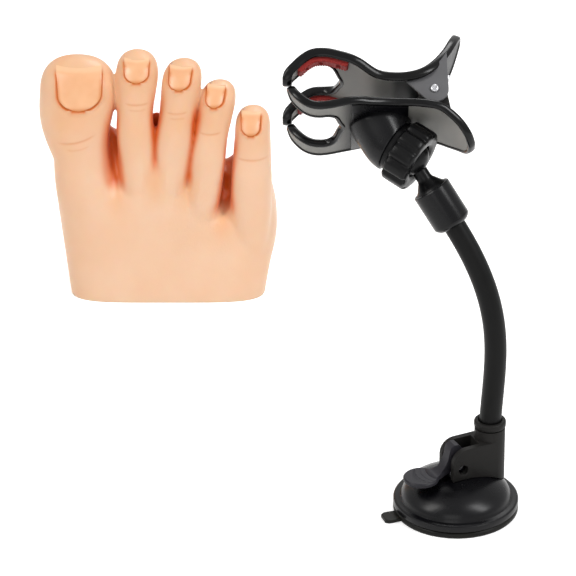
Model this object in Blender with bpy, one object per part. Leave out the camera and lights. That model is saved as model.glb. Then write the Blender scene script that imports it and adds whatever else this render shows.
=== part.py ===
"""Nail practice foot and its gooseneck clamp holder.

A soft forefoot with five toes stands on its cut face behind a holder: a lever
suction base, a bendable neck, a locking ball joint and a forked spring clamp.
The origin is the middle of the suction disc's flat underside, with +Z up.
"""

import math
from math import cos, pi, radians, sin

import bmesh
import bpy
from mathutils import Matrix, Vector

mm = 0.001

# Clearances and shared finish
TOUCH_GAP = 0.3 * mm
RUNNING_GAP = 0.45 * mm
CUT_OVERRUN = 4.0 * mm
ROUND_SIDES = 32
SMALL_ROUND_SIDES = 14
SHARP_ANGLE = 35

# Forefoot
FOOT_X = -137.0 * mm
FOOT_FRONT_Y = 199.3 * mm
FOOT_BASE_WIDTH = 95.8 * mm
TOES_DRAWN_FOR_WIDTH = 95.8 * mm
FOOT_BASE_DEPTH = 46.0 * mm
FOOT_WEB_HEIGHT = 62.0 * mm
FOOT_LEAN = 18
FOOT_VOXEL = 0.8 * mm
FOOT_SMOOTHING_STEPS = 30
FOOT_FACE_SHARE = 0.018

# Nails
NAIL_THICKNESS = 1.3 * mm
NAIL_SINK = 0.5 * mm
NAIL_CORNER_DROP = 1.2 * mm

# Suction disc and dome
DISC_RADIUS = 28.8 * mm
DISC_RIM_THICKNESS = 2.8 * mm
DISC_FLOOR = 2.0 * mm
DISC_BOSS_RADIUS = 7.0 * mm
DISC_BOSS_TOP = 9.0 * mm
TAB_LENGTH = 7.2 * mm
TAB_WIDTH = 8.6 * mm
TAB_THICKNESS = 2.0 * mm
TAB_BEARING = 200
FLANGE_THICKNESS = 3.2 * mm
DOME_BASE_RADIUS = 25.4 * mm
DOME_TOP = 18.4 * mm
DOME_WALL = 2.2 * mm

# Post and fork block
BLOCK_BEARING = 206
POST_OFFSET = 17.1 * mm
POST_RADIUS = 7.1 * mm
POST_TOP = 38.5 * mm
POST_SOCKET_DEPTH = 14.0 * mm
FORK_TOP = 33.6 * mm
POST_SCREW_OFFSET = 4.0 * mm
POST_SCREW_RADIUS = 1.3 * mm
POST_SCREW_TOP = 21.0 * mm
SCREW_HEAD_RADIUS = 2.4 * mm
SCREW_HEAD_THICKNESS = 1.5 * mm
SCREW_BOSS_RADIUS = 3.4 * mm
SCREW_BOSS_BOTTOM = 8.6 * mm
FORK_FRONT = 5.1 * mm
FORK_CORNER = 7.0 * mm
FORK_WALL = 2.7 * mm
FORK_SLOT = 8.8 * mm
FORK_HOLE_RADIUS = 2.5 * mm
COLLAR_RADIUS = 7.4 * mm
COLLAR_HEIGHT = 3.6 * mm

# Lever and pull stem
STEM_RADIUS = 2.9 * mm
STEM_FOOT_RADIUS = 4.4 * mm
STEM_FOOT_THICKNESS = 1.6 * mm
STEM_TRAVEL = 1.2 * mm
CAM_DROP = 1.6 * mm
CAM_TOP_ANGLE = 150
CAM_HEEL_ANGLE = 180 + 35
STEM_EYE_WIDTH = 3.4 * mm
LEVER_PIVOT_HEIGHT = 23.2 * mm
LEVER_PIN_RADIUS = 1.4 * mm
LEVER_HUB_RADIUS = 4.4 * mm
LEVER_SWING = 55
KNUCKLE_HEIGHT = 11.4 * mm
KNUCKLE_REACH = 4.8 * mm
PAD_RADIUS = 8.2 * mm
PAD_REACH = 18.2 * mm
PAD_TOP = 21.2 * mm
PAD_THICKNESS = 2.4 * mm

# Neck
NECK_RADIUS = 5.1 * mm
NECK_CORE_RADIUS = 3.7 * mm
NECK_SIDES = 12
NECK_INSERT = 10.0 * mm
NECK_TOP = (-2.4 * mm, 16.0 * mm, 138.1 * mm)
NECK_LOWER_PULL = 35.1 * mm
NECK_UPPER_PULL = 48.6 * mm
NECK_LOWER_LEAN = 2

# Ball stud and sleeve
STUD_AXIS = (0.536, -0.249, -0.807)
SLEEVE_RADIUS = 8.85 * mm
SLEEVE_LENGTH = 19.7 * mm
SLEEVE_CHAMFER = 1.6 * mm
SLEEVE_CAP_RIM = 1.6 * mm
STUD_LENGTH = 17.4 * mm
STUD_WAIST_RADIUS = 3.5 * mm
STUD_CONE_LENGTH = 5.2 * mm
BALL_RADIUS = 8.5 * mm

# Ball joint housing
SOCKET_TURN = 55
SOCKET_MOUTH_RADIUS = 12.4 * mm
SOCKET_BASE_RADIUS = 14.0 * mm
SOCKET_BASE_LENGTH = -24.0 * mm
SOCKET_BASE_DROP = -12.4 * mm
SOCKET_BASE_SKIRT = 4.0 * mm
SOCKET_MOUTH_BACK = 8.8 * mm
SOCKET_DOME_LENGTH = 16.5 * mm
SOCKET_BORE_RADIUS = 10.3 * mm
THREAD_RADIUS = 11.3 * mm
THREAD_END = 1.0 * mm
SEAT_DEPTH = 10.2 * mm
SEAT_HOLE_RADIUS = 3.0 * mm
SEAT_EDGE = 0.6 * mm
NUT_RADIUS = 14.9 * mm
NUT_LENGTH = 12.0 * mm
NUT_BACK = 6.3 * mm
NUT_LIP_RADIUS = 8.2 * mm
NUT_LIP_WIDTH = 2.6 * mm
NUT_LOBES = 11
NUT_GROOVE_DEPTH = 1.3 * mm

# Clamp
CLAMP_TILT = 52
PIN_ALONG = 10.8 * mm
PIN_ABOVE = 25.6 * mm
PIN_RADIUS = 1.5 * mm
PIN_HEAD_RADIUS = 2.6 * mm
PIN_HEAD_THICKNESS = 0.9 * mm
JAW_THICKNESS = 1.8 * mm
RIM_HEIGHT = 3.8 * mm
RIM_WIDTH = 2.2 * mm
JAW_HALF_WIDTH = 25.0 * mm
SLOT_HALF_WIDTH = 14.1 * mm
EAR_THICKNESS = 1.6 * mm
EAR_OUTER = 16.8 * mm
UPPER_EAR_ANGLE = -130
LOWER_EAR_ANGLE = 150
EAR_RADIUS = 6.4 * mm
LOWER_EAR_RADIUS = 5.6 * mm
JAW_SWING = 30
SPRING_WIRE = 1.2 * mm
SPRING_RADIUS = 4.4 * mm
SPRING_TURNS = 5
SPRING_PITCH = 2.2 * mm
SPRING_LOWER_LEG = (9.0 * mm, -11.6 * mm)
SPRING_UPPER_LEG = (7.1 * mm, 17.5 * mm)
PAD_GRIP_THICKNESS = 1.7 * mm
PAD_GRIP_WIDTH = 5.6 * mm

# Outline of each jaw seen from the side, from claw tip to handle tip: how far along the
# clamp and how far above the hinge pin
LOWER_JAW_REACH = 66.0 * mm
LOWER_JAW_SIDE_SHARES = (
    (-0.985, -0.033), (-0.955, -0.085), (-0.903, -0.142), (-0.848, -0.176), (-0.788, -0.188),
    (-0.718, -0.182), (-0.647, -0.167), (-0.576, -0.152), (-0.500, -0.142), (-0.424, -0.135),
    (-0.345, -0.127), (-0.258, -0.124), (-0.167, -0.124), (-0.076, -0.129), (0.030, -0.145),
    (0.106, -0.188), (0.167, -0.233), (0.215, -0.282), (0.258, -0.336))
UPPER_JAW_REACH = 66.0 * mm
UPPER_JAW_SIDE_SHARES = (
    (-0.994, -0.003), (-0.985, 0.055), (-0.940, 0.112), (-0.880, 0.171), (-0.818, 0.206),
    (-0.735, 0.210), (-0.655, 0.191), (-0.580, 0.167), (-0.515, 0.139), (-0.455, 0.105),
    (-0.395, 0.079), (-0.318, 0.068), (-0.215, 0.067), (-0.120, 0.085), (-0.040, 0.127),
    (0.030, 0.200), (0.091, 0.294), (0.136, 0.397), (0.176, 0.506))

# Plan of a jaw at the same stations: outer half width and slot half width
JAW_PLAN_SHARES = (
    (0.900, 0.680), (0.970, 0.610), (1.000, 0.575), (1.000, 0.565), (1.000, 0.565),
    (1.000, 0.560), (1.000, 0.430), (1.000, 0.000), (0.960, 0.000), (0.890, 0.000),
    (0.830, 0.000), (0.795, 0.000), (0.785, 0.000), (0.780, 0.000), (0.750, 0.000),
    (0.670, 0.000), (0.550, 0.000), (0.390, 0.000), (0.190, 0.000))

# Rim section round a jaw's edge: outward share of the rim width, height share of half its height
RIM_SECTION_SHARES = (
    (0.10, 0.88), (0.45, 1.00), (0.85, 0.72), (1.00, 0.00), (0.85, -0.72), (0.45, -1.00), (0.10, -0.88))

# Forefoot: height share, left and right edge as shares of half the base width, depth share,
# share of the depth by which the front edge rounds back
FOREFOOT_SHARES = (
    (0.00, -1.000, 1.000, 1.000, 0.00), (0.22, -1.045, 1.055, 0.985, 0.00), (0.42, -1.090, 1.125, 0.950, 0.00),
    (0.60, -1.140, 1.130, 0.900, 0.00), (0.76, -1.175, 1.115, 0.820, 0.00), (0.88, -1.180, 1.070, 0.705, 0.015),
    (0.96, -1.160, 1.030, 0.550, 0.05), (1.00, -1.100, 0.980, 0.360, 0.14))

# Height of the top of the forefoot across its width, as shares of the web height
WEB_LINE_SHARES = (
    (-1.20, 1.10), (-0.80, 1.08), (-0.51, 0.96), (-0.16, 1.12), (0.19, 0.97), (0.57, 0.77), (0.80, 0.86),
    (1.20, 0.90))

# Toe: name, root x, tip x, root height, tip height, width, depth (all real sizes)
TOES = (
    ('big_toe', -38.0 * mm, -46.0 * mm, 30.0 * mm, 111.4 * mm, 37.4 * mm, 25.0 * mm),
    ('second_toe', -14.0 * mm, -14.4 * mm, 38.0 * mm, 115.2 * mm, 20.8 * mm, 20.0 * mm),
    ('third_toe', 0.4 * mm, 8.2 * mm, 38.0 * mm, 111.4 * mm, 19.6 * mm, 19.4 * mm),
    ('fourth_toe', 16.6 * mm, 26.6 * mm, 32.0 * mm, 101.4 * mm, 17.0 * mm, 18.4 * mm),
    ('little_toe', 39.0 * mm, 44.6 * mm, 22.0 * mm, 89.0 * mm, 19.6 * mm, 18.0 * mm))

# Toe shape along its length: length share, width share, depth share, forward bend share of depth
BIG_TOE_SHARES = (
    (0.00, 0.56, 0.80, -0.12), (0.20, 0.66, 0.95, -0.02), (0.38, 0.70, 0.98, 0.00), (0.54, 0.77, 1.00, 0.03),
    (0.69, 0.93, 1.00, 0.04), (0.80, 1.00, 1.00, 0.02), (0.885, 0.97, 0.92, 0.00), (0.948, 0.80, 0.72, -0.04),
    (0.986, 0.50, 0.42, -0.10), (1.00, 0.16, 0.14, -0.12))
TOE_SHARES = (
    (0.00, 0.76, 0.82, -0.12), (0.20, 0.84, 0.95, -0.02), (0.38, 0.87, 0.99, 0.02), (0.52, 0.86, 0.98, 0.08),
    (0.66, 0.83, 0.92, 0.07), (0.78, 0.93, 0.97, 0.02), (0.875, 1.00, 1.00, -0.02), (0.942, 0.90, 0.84, -0.07),
    (0.981, 0.62, 0.54, -0.14), (1.00, 0.22, 0.20, -0.18))

# Nail: toe index, how far it sits aside of the toe's middle, width, length, drop of its free
# edge below the toe's tip
NAILS = (
    ('big_toe_nail', 0, 1.6 * mm, 21.8 * mm, 17.8 * mm, 3.0 * mm),
    ('second_toe_nail', 1, -0.2 * mm, 12.8 * mm, 7.6 * mm, 3.0 * mm),
    ('third_toe_nail', 2, -1.3 * mm, 11.2 * mm, 7.8 * mm, 2.6 * mm),
    ('fourth_toe_nail', 3, -1.5 * mm, 9.0 * mm, 6.5 * mm, 2.4 * mm),
    ('little_toe_nail', 4, -1.4 * mm, 10.0 * mm, 8.0 * mm, 2.6 * mm))

SKIN = (0.922, 0.600, 0.420)
NAIL_SKIN = (0.870, 0.500, 0.290)
BLACK = (0.012, 0.012, 0.013)
CHARCOAL = (0.045, 0.044, 0.044)
GREY = (0.190, 0.185, 0.175)
RED = (0.520, 0.060, 0.050)
STEEL = (0.720, 0.720, 0.730)
RUBBER = (0.020, 0.020, 0.020)


def clear_scene():
    """Remove whatever the open file holds."""
    for thing in list(bpy.data.objects):
        bpy.data.objects.remove(thing, do_unlink=True)


def material(name, colour, roughness, metallic=0.0):
    """Return the Principled material of that name, made once."""
    found = bpy.data.materials.get(name)
    if found:
        return found
    made = bpy.data.materials.new(name)
    made.use_nodes = True
    shader = made.node_tree.nodes['Principled BSDF']
    shader.inputs['Base Color'].default_value = (*colour, 1.0)
    shader.inputs['Roughness'].default_value = roughness
    shader.inputs['Metallic'].default_value = metallic
    made.diffuse_color = (*colour, 1.0)
    return made


def add(name, mesh, finish=None, parent=None, matrix=None):
    """Link one mesh object under its parent at a local matrix."""
    made = bpy.data.objects.new(name, mesh)
    bpy.context.collection.objects.link(made)
    if finish:
        mesh.materials.append(finish)
    mesh.shade_smooth()
    mesh.set_sharp_from_angle(angle=radians(SHARP_ANGLE))
    if parent:
        made.parent = parent
    if matrix:
        made.matrix_local = matrix
    return made


def pivot(name, location, parent=None, turn=None):
    """Add an empty that carries the pieces of one moving body."""
    made = bpy.data.objects.new(name, None)
    bpy.context.collection.objects.link(made)
    if parent:
        made.parent = parent
    frame = Matrix.Translation(location)
    if turn:
        frame = frame @ turn
    made.matrix_local = frame
    return made


def to_mesh(name, bm):
    """Close a bmesh with its faces pointing out and turn it into a mesh."""
    bmesh.ops.remove_doubles(bm, verts=bm.verts, dist=TOUCH_GAP / 30)
    bmesh.ops.recalc_face_normals(bm, faces=bm.faces)
    mesh = bpy.data.meshes.new(name)
    bm.to_mesh(mesh)
    bm.free()
    return mesh


def loft(name, rings, closed=False):
    """Skin a list of equal rings, with a flat cap at each end unless it closes on itself."""
    bm = bmesh.new()
    rows = [[bm.verts.new(point) for point in ring] for ring in rings]
    pairs = list(zip(rows, rows[1:]))
    if closed:
        pairs.append((rows[-1], rows[0]))
    for lower, upper in pairs:
        for i in range(len(lower)):
            j = (i + 1) % len(lower)
            bm.faces.new((lower[i], lower[j], upper[j], upper[i]))
    if not closed:
        bm.faces.new(rows[0])
        bm.faces.new(rows[-1])
    return to_mesh(name, bm)


def turned(name, profile, sides=ROUND_SIDES):
    """Turn a closed outline of radius and height points about Z."""
    bm = bmesh.new()
    columns = []
    for radius, height in profile:
        if radius == 0:
            centre = bm.verts.new((0, 0, height))
            columns.append([centre] * sides)
            continue
        ring = []
        for i in range(sides):
            angle = 2 * pi * i / sides
            ring.append(bm.verts.new((radius * cos(angle), radius * sin(angle), height)))
        columns.append(ring)
    for k, here in enumerate(columns):
        there = columns[(k + 1) % len(columns)]
        for i in range(sides):
            j = (i + 1) % sides
            corners = []
            for corner in (here[i], here[j], there[j], there[i]):
                if corner not in corners:
                    corners.append(corner)
            if len(corners) > 2:
                bm.faces.new(corners)
    return to_mesh(name, bm)


def prism(name, outline, low, high, axis='Z'):
    """Extrude a closed outline of two-part points between two places on one axis."""
    bm = bmesh.new()
    ends = []
    for place in (low, high):
        if axis == 'Z':
            ends.append([bm.verts.new((a, b, place)) for a, b in outline])
        else:
            ends.append([bm.verts.new((a, place, b)) for a, b in outline])
    for i in range(len(outline)):
        j = (i + 1) % len(outline)
        bm.faces.new((ends[0][i], ends[0][j], ends[1][j], ends[1][i]))
    bm.faces.new(ends[0])
    bm.faces.new(ends[1])
    return to_mesh(name, bm)


def arc(centre, radius, start, end, steps):
    """Return points on an arc, its angles in degrees."""
    points = []
    for i in range(steps + 1):
        angle = radians(start + (end - start) * i / steps)
        points.append((centre[0] + radius * cos(angle), centre[1] + radius * sin(angle)))
    return points


def boolean(target, tool, operation='DIFFERENCE'):
    """Cut or join one object with another that is left out of the model itself."""
    tool.hide_render = True
    tool.display_type = 'WIRE'
    step = target.modifiers.new(operation.lower(), 'BOOLEAN')
    step.operation = operation
    step.object = tool
    return step


def towards(direction):
    """Return the turn that points local Z along a direction."""
    return Vector(direction).to_track_quat('Z', 'Y').to_matrix().to_4x4()


def bar(name, start, end, radius, sides=SMALL_ROUND_SIDES):
    """Make a plain round bar between two points."""
    start = Vector(start)
    run = Vector(end) - start
    mesh = turned(name, ((0, 0), (radius, 0), (radius, run.length), (0, run.length)), sides)
    mesh.transform(Matrix.Translation(start) @ towards(run))
    return mesh


def between(table, place):
    """Read a table of rows by their first value, with straight runs between them."""
    place = min(max(place, table[0][0]), table[-1][0])
    for lower, upper in zip(table, table[1:]):
        if place <= upper[0]:
            share = (place - lower[0]) / (upper[0] - lower[0])
            return [a + share * (b - a) for a, b in zip(lower[1:], upper[1:])]
    return list(table[-1][1:])


def rounded(angle, squareness):
    """Return a point of a unit circle that is drawn towards a square."""
    across = abs(cos(angle)) ** squareness
    along = abs(sin(angle)) ** squareness
    return math.copysign(across, cos(angle)), math.copysign(along, sin(angle))


def set_back(height):
    """Return how far the top of the foot leans back at a height."""
    return height * math.tan(radians(FOOT_LEAN))


def forefoot_rings():
    """Return the sections of the forefoot, the last ones following the webs between the toes."""
    ring_sides = 36
    web_rise = math.tan(radians(36))
    half = FOOT_BASE_WIDTH / 2
    rings = []
    for height_share, left, right, depth_share, back_share in FOREFOOT_SHARES:
        height = height_share * FOOT_WEB_HEIGHT
        depth = FOOT_BASE_DEPTH * depth_share
        front = set_back(height) + FOOT_BASE_DEPTH * back_share
        middle = half * (left + right) / 2
        reach = half * (right - left) / 2
        ring = []
        for i in range(ring_sides):
            across, along = rounded(2 * pi * i / ring_sides, 0.6)
            x = middle + reach * across
            thin = 1 - 0.16 * across * height_share
            y = front + depth / 2 + depth / 2 * along * thin
            web = between(WEB_LINE_SHARES, x / half)[0]
            z = height * (1 + (web - 1) * height_share ** 2)
            z += height_share ** 4 * web_rise * (y - set_back(height))
            ring.append((x, y, z))
        rings.append(ring)
    foot_root = [(x, y, -CUT_OVERRUN) for x, y, z in rings[0]]
    return [foot_root] + rings


def toe_section(toe, share):
    """Return the centre, half width and half depth of a toe at a share of its length."""
    name, root_x, tip_x, root_z, tip_z, width, depth = toe
    table = BIG_TOE_SHARES if name == 'big_toe' else TOE_SHARES
    width_share, depth_share, bend = between(table, share)
    spread = FOOT_BASE_WIDTH / TOES_DRAWN_FOR_WIDTH
    x = (root_x + (tip_x - root_x) * share) * spread
    z = root_z + (tip_z - root_z) * share
    y = set_back(z) + depth / 2 - bend * depth
    return Vector((x, y, z)), width / 2 * width_share, depth / 2 * depth_share


def toe_rings(toe):
    """Return the sections of one toe from inside the forefoot to its tip."""
    ring_sides = 22
    table = BIG_TOE_SHARES if toe[0] == 'big_toe' else TOE_SHARES
    rings = []
    for row in table:
        centre, half_width, half_depth = toe_section(toe, row[0])
        ring = []
        for i in range(ring_sides):
            across, along = rounded(2 * pi * i / ring_sides, 0.9)
            ring.append((centre.x + half_width * across, centre.y + half_depth * along, centre.z))
        rings.append(ring)
    return rings


def nail_mesh(nail, grow=0.0, reach=0.0):
    """Make a curved nail plate, or its pocket when it grows and reaches out in front."""
    name, toe_index, aside_shift, width, length, drop = nail
    toe = TOES[toe_index]
    root_z, tip_z = toe[3], toe[4]
    columns, rows = 6, 6
    bm = bmesh.new()
    front, back = [], []
    for k in range(rows + 1):
        along = k / rows
        round_end = max(0.0, (along - 0.55) / 0.45)
        half_width = width / 2 * math.sqrt(1 - 0.72 * round_end ** 2) + grow
        edge_z = tip_z - drop + grow - along * (length + 2 * grow)
        front_row, back_row = [], []
        for i in range(columns + 1):
            across = 2 * i / columns - 1
            aside = half_width * across + aside_shift
            z = edge_z - NAIL_CORNER_DROP * (across * (1 - along)) ** 2
            centre, toe_half, toe_depth = toe_section(toe, (z - root_z) / (tip_z - root_z))
            curve = 1 - math.sqrt(max(0.0, 1 - (aside / (toe_half * 1.12)) ** 2))
            y = centre.y - toe_depth + toe_depth * curve + NAIL_SINK
            front_row.append(bm.verts.new((centre.x + aside, y - reach, z)))
            back_row.append(bm.verts.new((centre.x + aside, y + NAIL_THICKNESS + grow, z)))
        front.append(front_row)
        back.append(back_row)
    for k in range(rows):
        for i in range(columns):
            bm.faces.new((front[k][i], front[k][i + 1], front[k + 1][i + 1], front[k + 1][i]))
            bm.faces.new((back[k][i], back[k + 1][i], back[k + 1][i + 1], back[k][i + 1]))
    edge = [(0, i) for i in range(columns)] + [(k, columns) for k in range(rows)]
    edge += [(rows, i) for i in range(columns, 0, -1)] + [(k, 0) for k in range(rows, 0, -1)]
    for here, there in zip(edge, edge[1:] + edge[:1]):
        a, b = here
        c, d = there
        bm.faces.new((front[a][b], back[a][b], back[c][d], front[c][d]))
    return to_mesh(name, bm)


def make_foot():
    """Add the soft forefoot with its five nail pockets, and the nails that sit in them."""
    place = pivot('foot_place', (FOOT_X, FOOT_FRONT_Y, 0))
    bm = bmesh.new()
    for number, rings in enumerate([forefoot_rings()] + [toe_rings(toe) for toe in TOES]):
        shell = loft(f'foot_shell_{number}', rings)
        bm.from_mesh(shell)
    flesh = bpy.data.meshes.new('foot_body')
    bm.to_mesh(flesh)
    bm.free()
    foot = add('foot_body', flesh, material('soft_skin', SKIN, 0.45), place)
    skin = foot.modifiers.new('one_skin', 'REMESH')
    skin.mode = 'VOXEL'
    skin.voxel_size = FOOT_VOXEL
    soften = foot.modifiers.new('soften', 'SMOOTH')
    soften.factor = 0.5
    soften.iterations = FOOT_SMOOTHING_STEPS
    fewer = foot.modifiers.new('fewer_faces', 'DECIMATE')
    fewer.ratio = FOOT_FACE_SHARE
    width = FOOT_BASE_WIDTH
    floor = prism('sole_cut', ((-width, -width), (width, -width), (width, width), (-width, width)),
                  -FOOT_BASE_DEPTH, 0)
    boolean(foot, add('sole_cut', floor, parent=place))
    for nail in NAILS:
        pocket = add(nail[0] + '_pocket', nail_mesh(nail, TOUCH_GAP, CUT_OVERRUN), parent=place)
        boolean(foot, pocket)
        add(nail[0], nail_mesh(nail), material('nail_skin', NAIL_SKIN, 0.35), place)


def dome_curve(shrink, steps=6):
    """Return the dome's curve from its foot to the stem hole, set in by a wall."""
    radius = DOME_BASE_RADIUS - shrink
    foot = DISC_RIM_THICKNESS + TOUCH_GAP + FLANGE_THICKNESS - shrink
    rise = DOME_TOP - shrink - foot
    hole = STEM_RADIUS + RUNNING_GAP
    last = math.acos(hole / radius)
    points = []
    for i in range(steps + 1):
        angle = last * i / steps
        points.append((radius * cos(angle), foot + rise * sin(angle)))
    return points


def make_suction_base():
    """Add the rubber disc with its pull tab, and the dome that presses on it."""
    bore = STEM_FOOT_RADIUS + TOUCH_GAP
    slope_top = DISC_RIM_THICKNESS + DISC_FLOOR / 2
    disc = turned('suction_disc', (
        (0, 0), (DISC_RADIUS, 0), (DISC_RADIUS, DISC_RIM_THICKNESS),
        (DOME_BASE_RADIUS - DOME_WALL, DISC_RIM_THICKNESS), (DISC_BOSS_RADIUS, slope_top),
        (DISC_BOSS_RADIUS, DISC_BOSS_TOP), (bore, DISC_BOSS_TOP), (bore, DISC_FLOOR), (0, DISC_FLOOR)), 30)
    rubber = add('suction_disc', disc, material('disc_rubber', RUBBER, 0.55))
    reach = DISC_RADIUS + TAB_LENGTH - TAB_WIDTH / 2
    outline = [(0, -TAB_WIDTH / 2)] + arc((reach, 0), TAB_WIDTH / 2, -90, 90, 8) + [(0, TAB_WIDTH / 2)]
    outline = [(max(a, DISC_BOSS_RADIUS + TAB_WIDTH), b) for a, b in outline]
    tab = prism('pull_tab_guide', outline, DISC_FLOOR / 4, TAB_THICKNESS)
    turn = Matrix.Rotation(radians(TAB_BEARING), 4, 'Z')
    boolean(rubber, add('pull_tab_guide', tab, matrix=turn), 'UNION')

    low = DISC_RIM_THICKNESS + TOUCH_GAP
    high = low + FLANGE_THICKNESS
    edge = FLANGE_THICKNESS / 4
    rim = [(DISC_RADIUS, low), (DISC_RADIUS, high - edge), (DISC_RADIUS - edge, high)]
    inner = list(reversed(dome_curve(DOME_WALL)))
    inner.append((DOME_BASE_RADIUS - DOME_WALL, low))
    dome = add('dome_cover', turned('dome_cover', rim + dome_curve(0) + inner, 30),
               material('gloss_black', BLACK, 0.18))
    fork = pivot('fork_place', (0, 0, 0), turn=Matrix.Rotation(radians(BLOCK_BEARING), 4, 'Z'))
    for number, side in enumerate((-1, 1)):
        x = -POST_OFFSET + POST_SCREW_OFFSET / 2
        y = side * POST_SCREW_OFFSET
        boss = bar(f'screw_boss_{number}', (x, y, SCREW_BOSS_BOTTOM),
                   (x, y, DOME_TOP - DOME_WALL * 2), SCREW_BOSS_RADIUS, 16)
        boolean(dome, add(f'screw_boss_{number}', boss, parent=fork), 'UNION')
    for number, side in enumerate((-1, 1)):
        x = -POST_OFFSET + POST_SCREW_OFFSET / 2
        y = side * POST_SCREW_OFFSET
        hole = bar(f'screw_hole_{number}', (x, y, 0), (x, y, POST_SCREW_TOP + TOUCH_GAP),
                   POST_SCREW_RADIUS + TOUCH_GAP, 10)
        boolean(dome, add(f'screw_hole_{number}', hole, parent=fork))
        head = SCREW_BOSS_BOTTOM - TOUCH_GAP
        screw = turned('post_screw', (
            (0, head - SCREW_HEAD_THICKNESS), (SCREW_HEAD_RADIUS, head - SCREW_HEAD_THICKNESS),
            (SCREW_HEAD_RADIUS, head), (POST_SCREW_RADIUS, head), (POST_SCREW_RADIUS, POST_SCREW_TOP),
            (0, POST_SCREW_TOP)), 12)
        name = 'post_screw_left' if side < 0 else 'post_screw_right'
        add(name, screw, material('steel', STEEL, 0.3, 1.0), fork, Matrix.Translation((x, y, 0)))
    return fork


def make_post(fork):
    """Add the fork block with its post, seated on the dome."""
    low = DISC_RIM_THICKNESS + FLANGE_THICKNESS
    corner = (FORK_FRONT - FORK_CORNER, FORK_TOP - FORK_CORNER)
    side = [(-POST_OFFSET, low), (FORK_FRONT, low)] + arc(corner, FORK_CORNER, 0, 90, 6)
    side.append((-POST_OFFSET, FORK_TOP))
    half = FORK_SLOT / 2 + FORK_WALL
    block = add('base_post', prism('base_post', side, -half, half, 'Y'),
                material('matte_charcoal', CHARCOAL, 0.5), fork)
    post = bar('post_guide', (-POST_OFFSET, 0, low), (-POST_OFFSET, 0, POST_TOP), POST_RADIUS, 28)
    boolean(block, add('post_guide', post, parent=fork), 'UNION')
    slot_back = -POST_OFFSET + POST_RADIUS + TOUCH_GAP * 2
    slot = prism('slot_cut', ((slot_back, 0), (FORK_FRONT + CUT_OVERRUN, 0),
                              (FORK_FRONT + CUT_OVERRUN, POST_TOP), (slot_back, POST_TOP)),
                 -FORK_SLOT / 2, FORK_SLOT / 2, 'Y')
    boolean(block, add('slot_cut', slot, parent=fork))
    under = [(radius + TOUCH_GAP, height + TOUCH_GAP) for radius, height in dome_curve(0)]
    under.append((0, under[-1][1]))
    under.append((0, 0))
    under.append((DISC_RADIUS + TOUCH_GAP, 0))
    under.append((DISC_RADIUS + TOUCH_GAP, under[0][1]))
    boolean(block, add('dome_cut', turned('dome_cut', under, 30), parent=fork))
    hole = bar('pin_hole_cut', (0, -half - CUT_OVERRUN, LEVER_PIVOT_HEIGHT),
               (0, half + CUT_OVERRUN, LEVER_PIVOT_HEIGHT), FORK_HOLE_RADIUS, 16)
    boolean(block, add('pin_hole_cut', hole, parent=fork))
    socket = bar('neck_socket_cut', (-POST_OFFSET, 0, POST_TOP - POST_SOCKET_DEPTH),
                 (-POST_OFFSET, 0, POST_TOP + CUT_OVERRUN), NECK_CORE_RADIUS + TOUCH_GAP, 16)
    boolean(block, add('neck_socket_cut', socket, parent=fork))
    for number, where in enumerate((-1, 1)):
        x = -POST_OFFSET + POST_SCREW_OFFSET / 2
        y = where * POST_SCREW_OFFSET
        bore = bar(f'post_screw_bore_{number}', (x, y, 0), (x, y, POST_SCREW_TOP + TOUCH_GAP),
                   POST_SCREW_RADIUS + TOUCH_GAP, 10)
        boolean(block, add(f'post_screw_bore_{number}', bore, parent=fork))
    inner = NECK_RADIUS + TOUCH_GAP
    low = POST_TOP + TOUCH_GAP
    lip = (COLLAR_RADIUS - inner) / 3
    collar = turned('neck_collar', (
        (inner, low), (COLLAR_RADIUS - lip, low), (COLLAR_RADIUS, low + lip),
        (COLLAR_RADIUS, low + COLLAR_HEIGHT - lip), (COLLAR_RADIUS - lip, low + COLLAR_HEIGHT),
        (inner, low + COLLAR_HEIGHT)), 28)
    add('neck_collar', collar, material('matte_charcoal', CHARCOAL, 0.5), fork,
        Matrix.Translation((-POST_OFFSET, 0, 0)))


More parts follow.
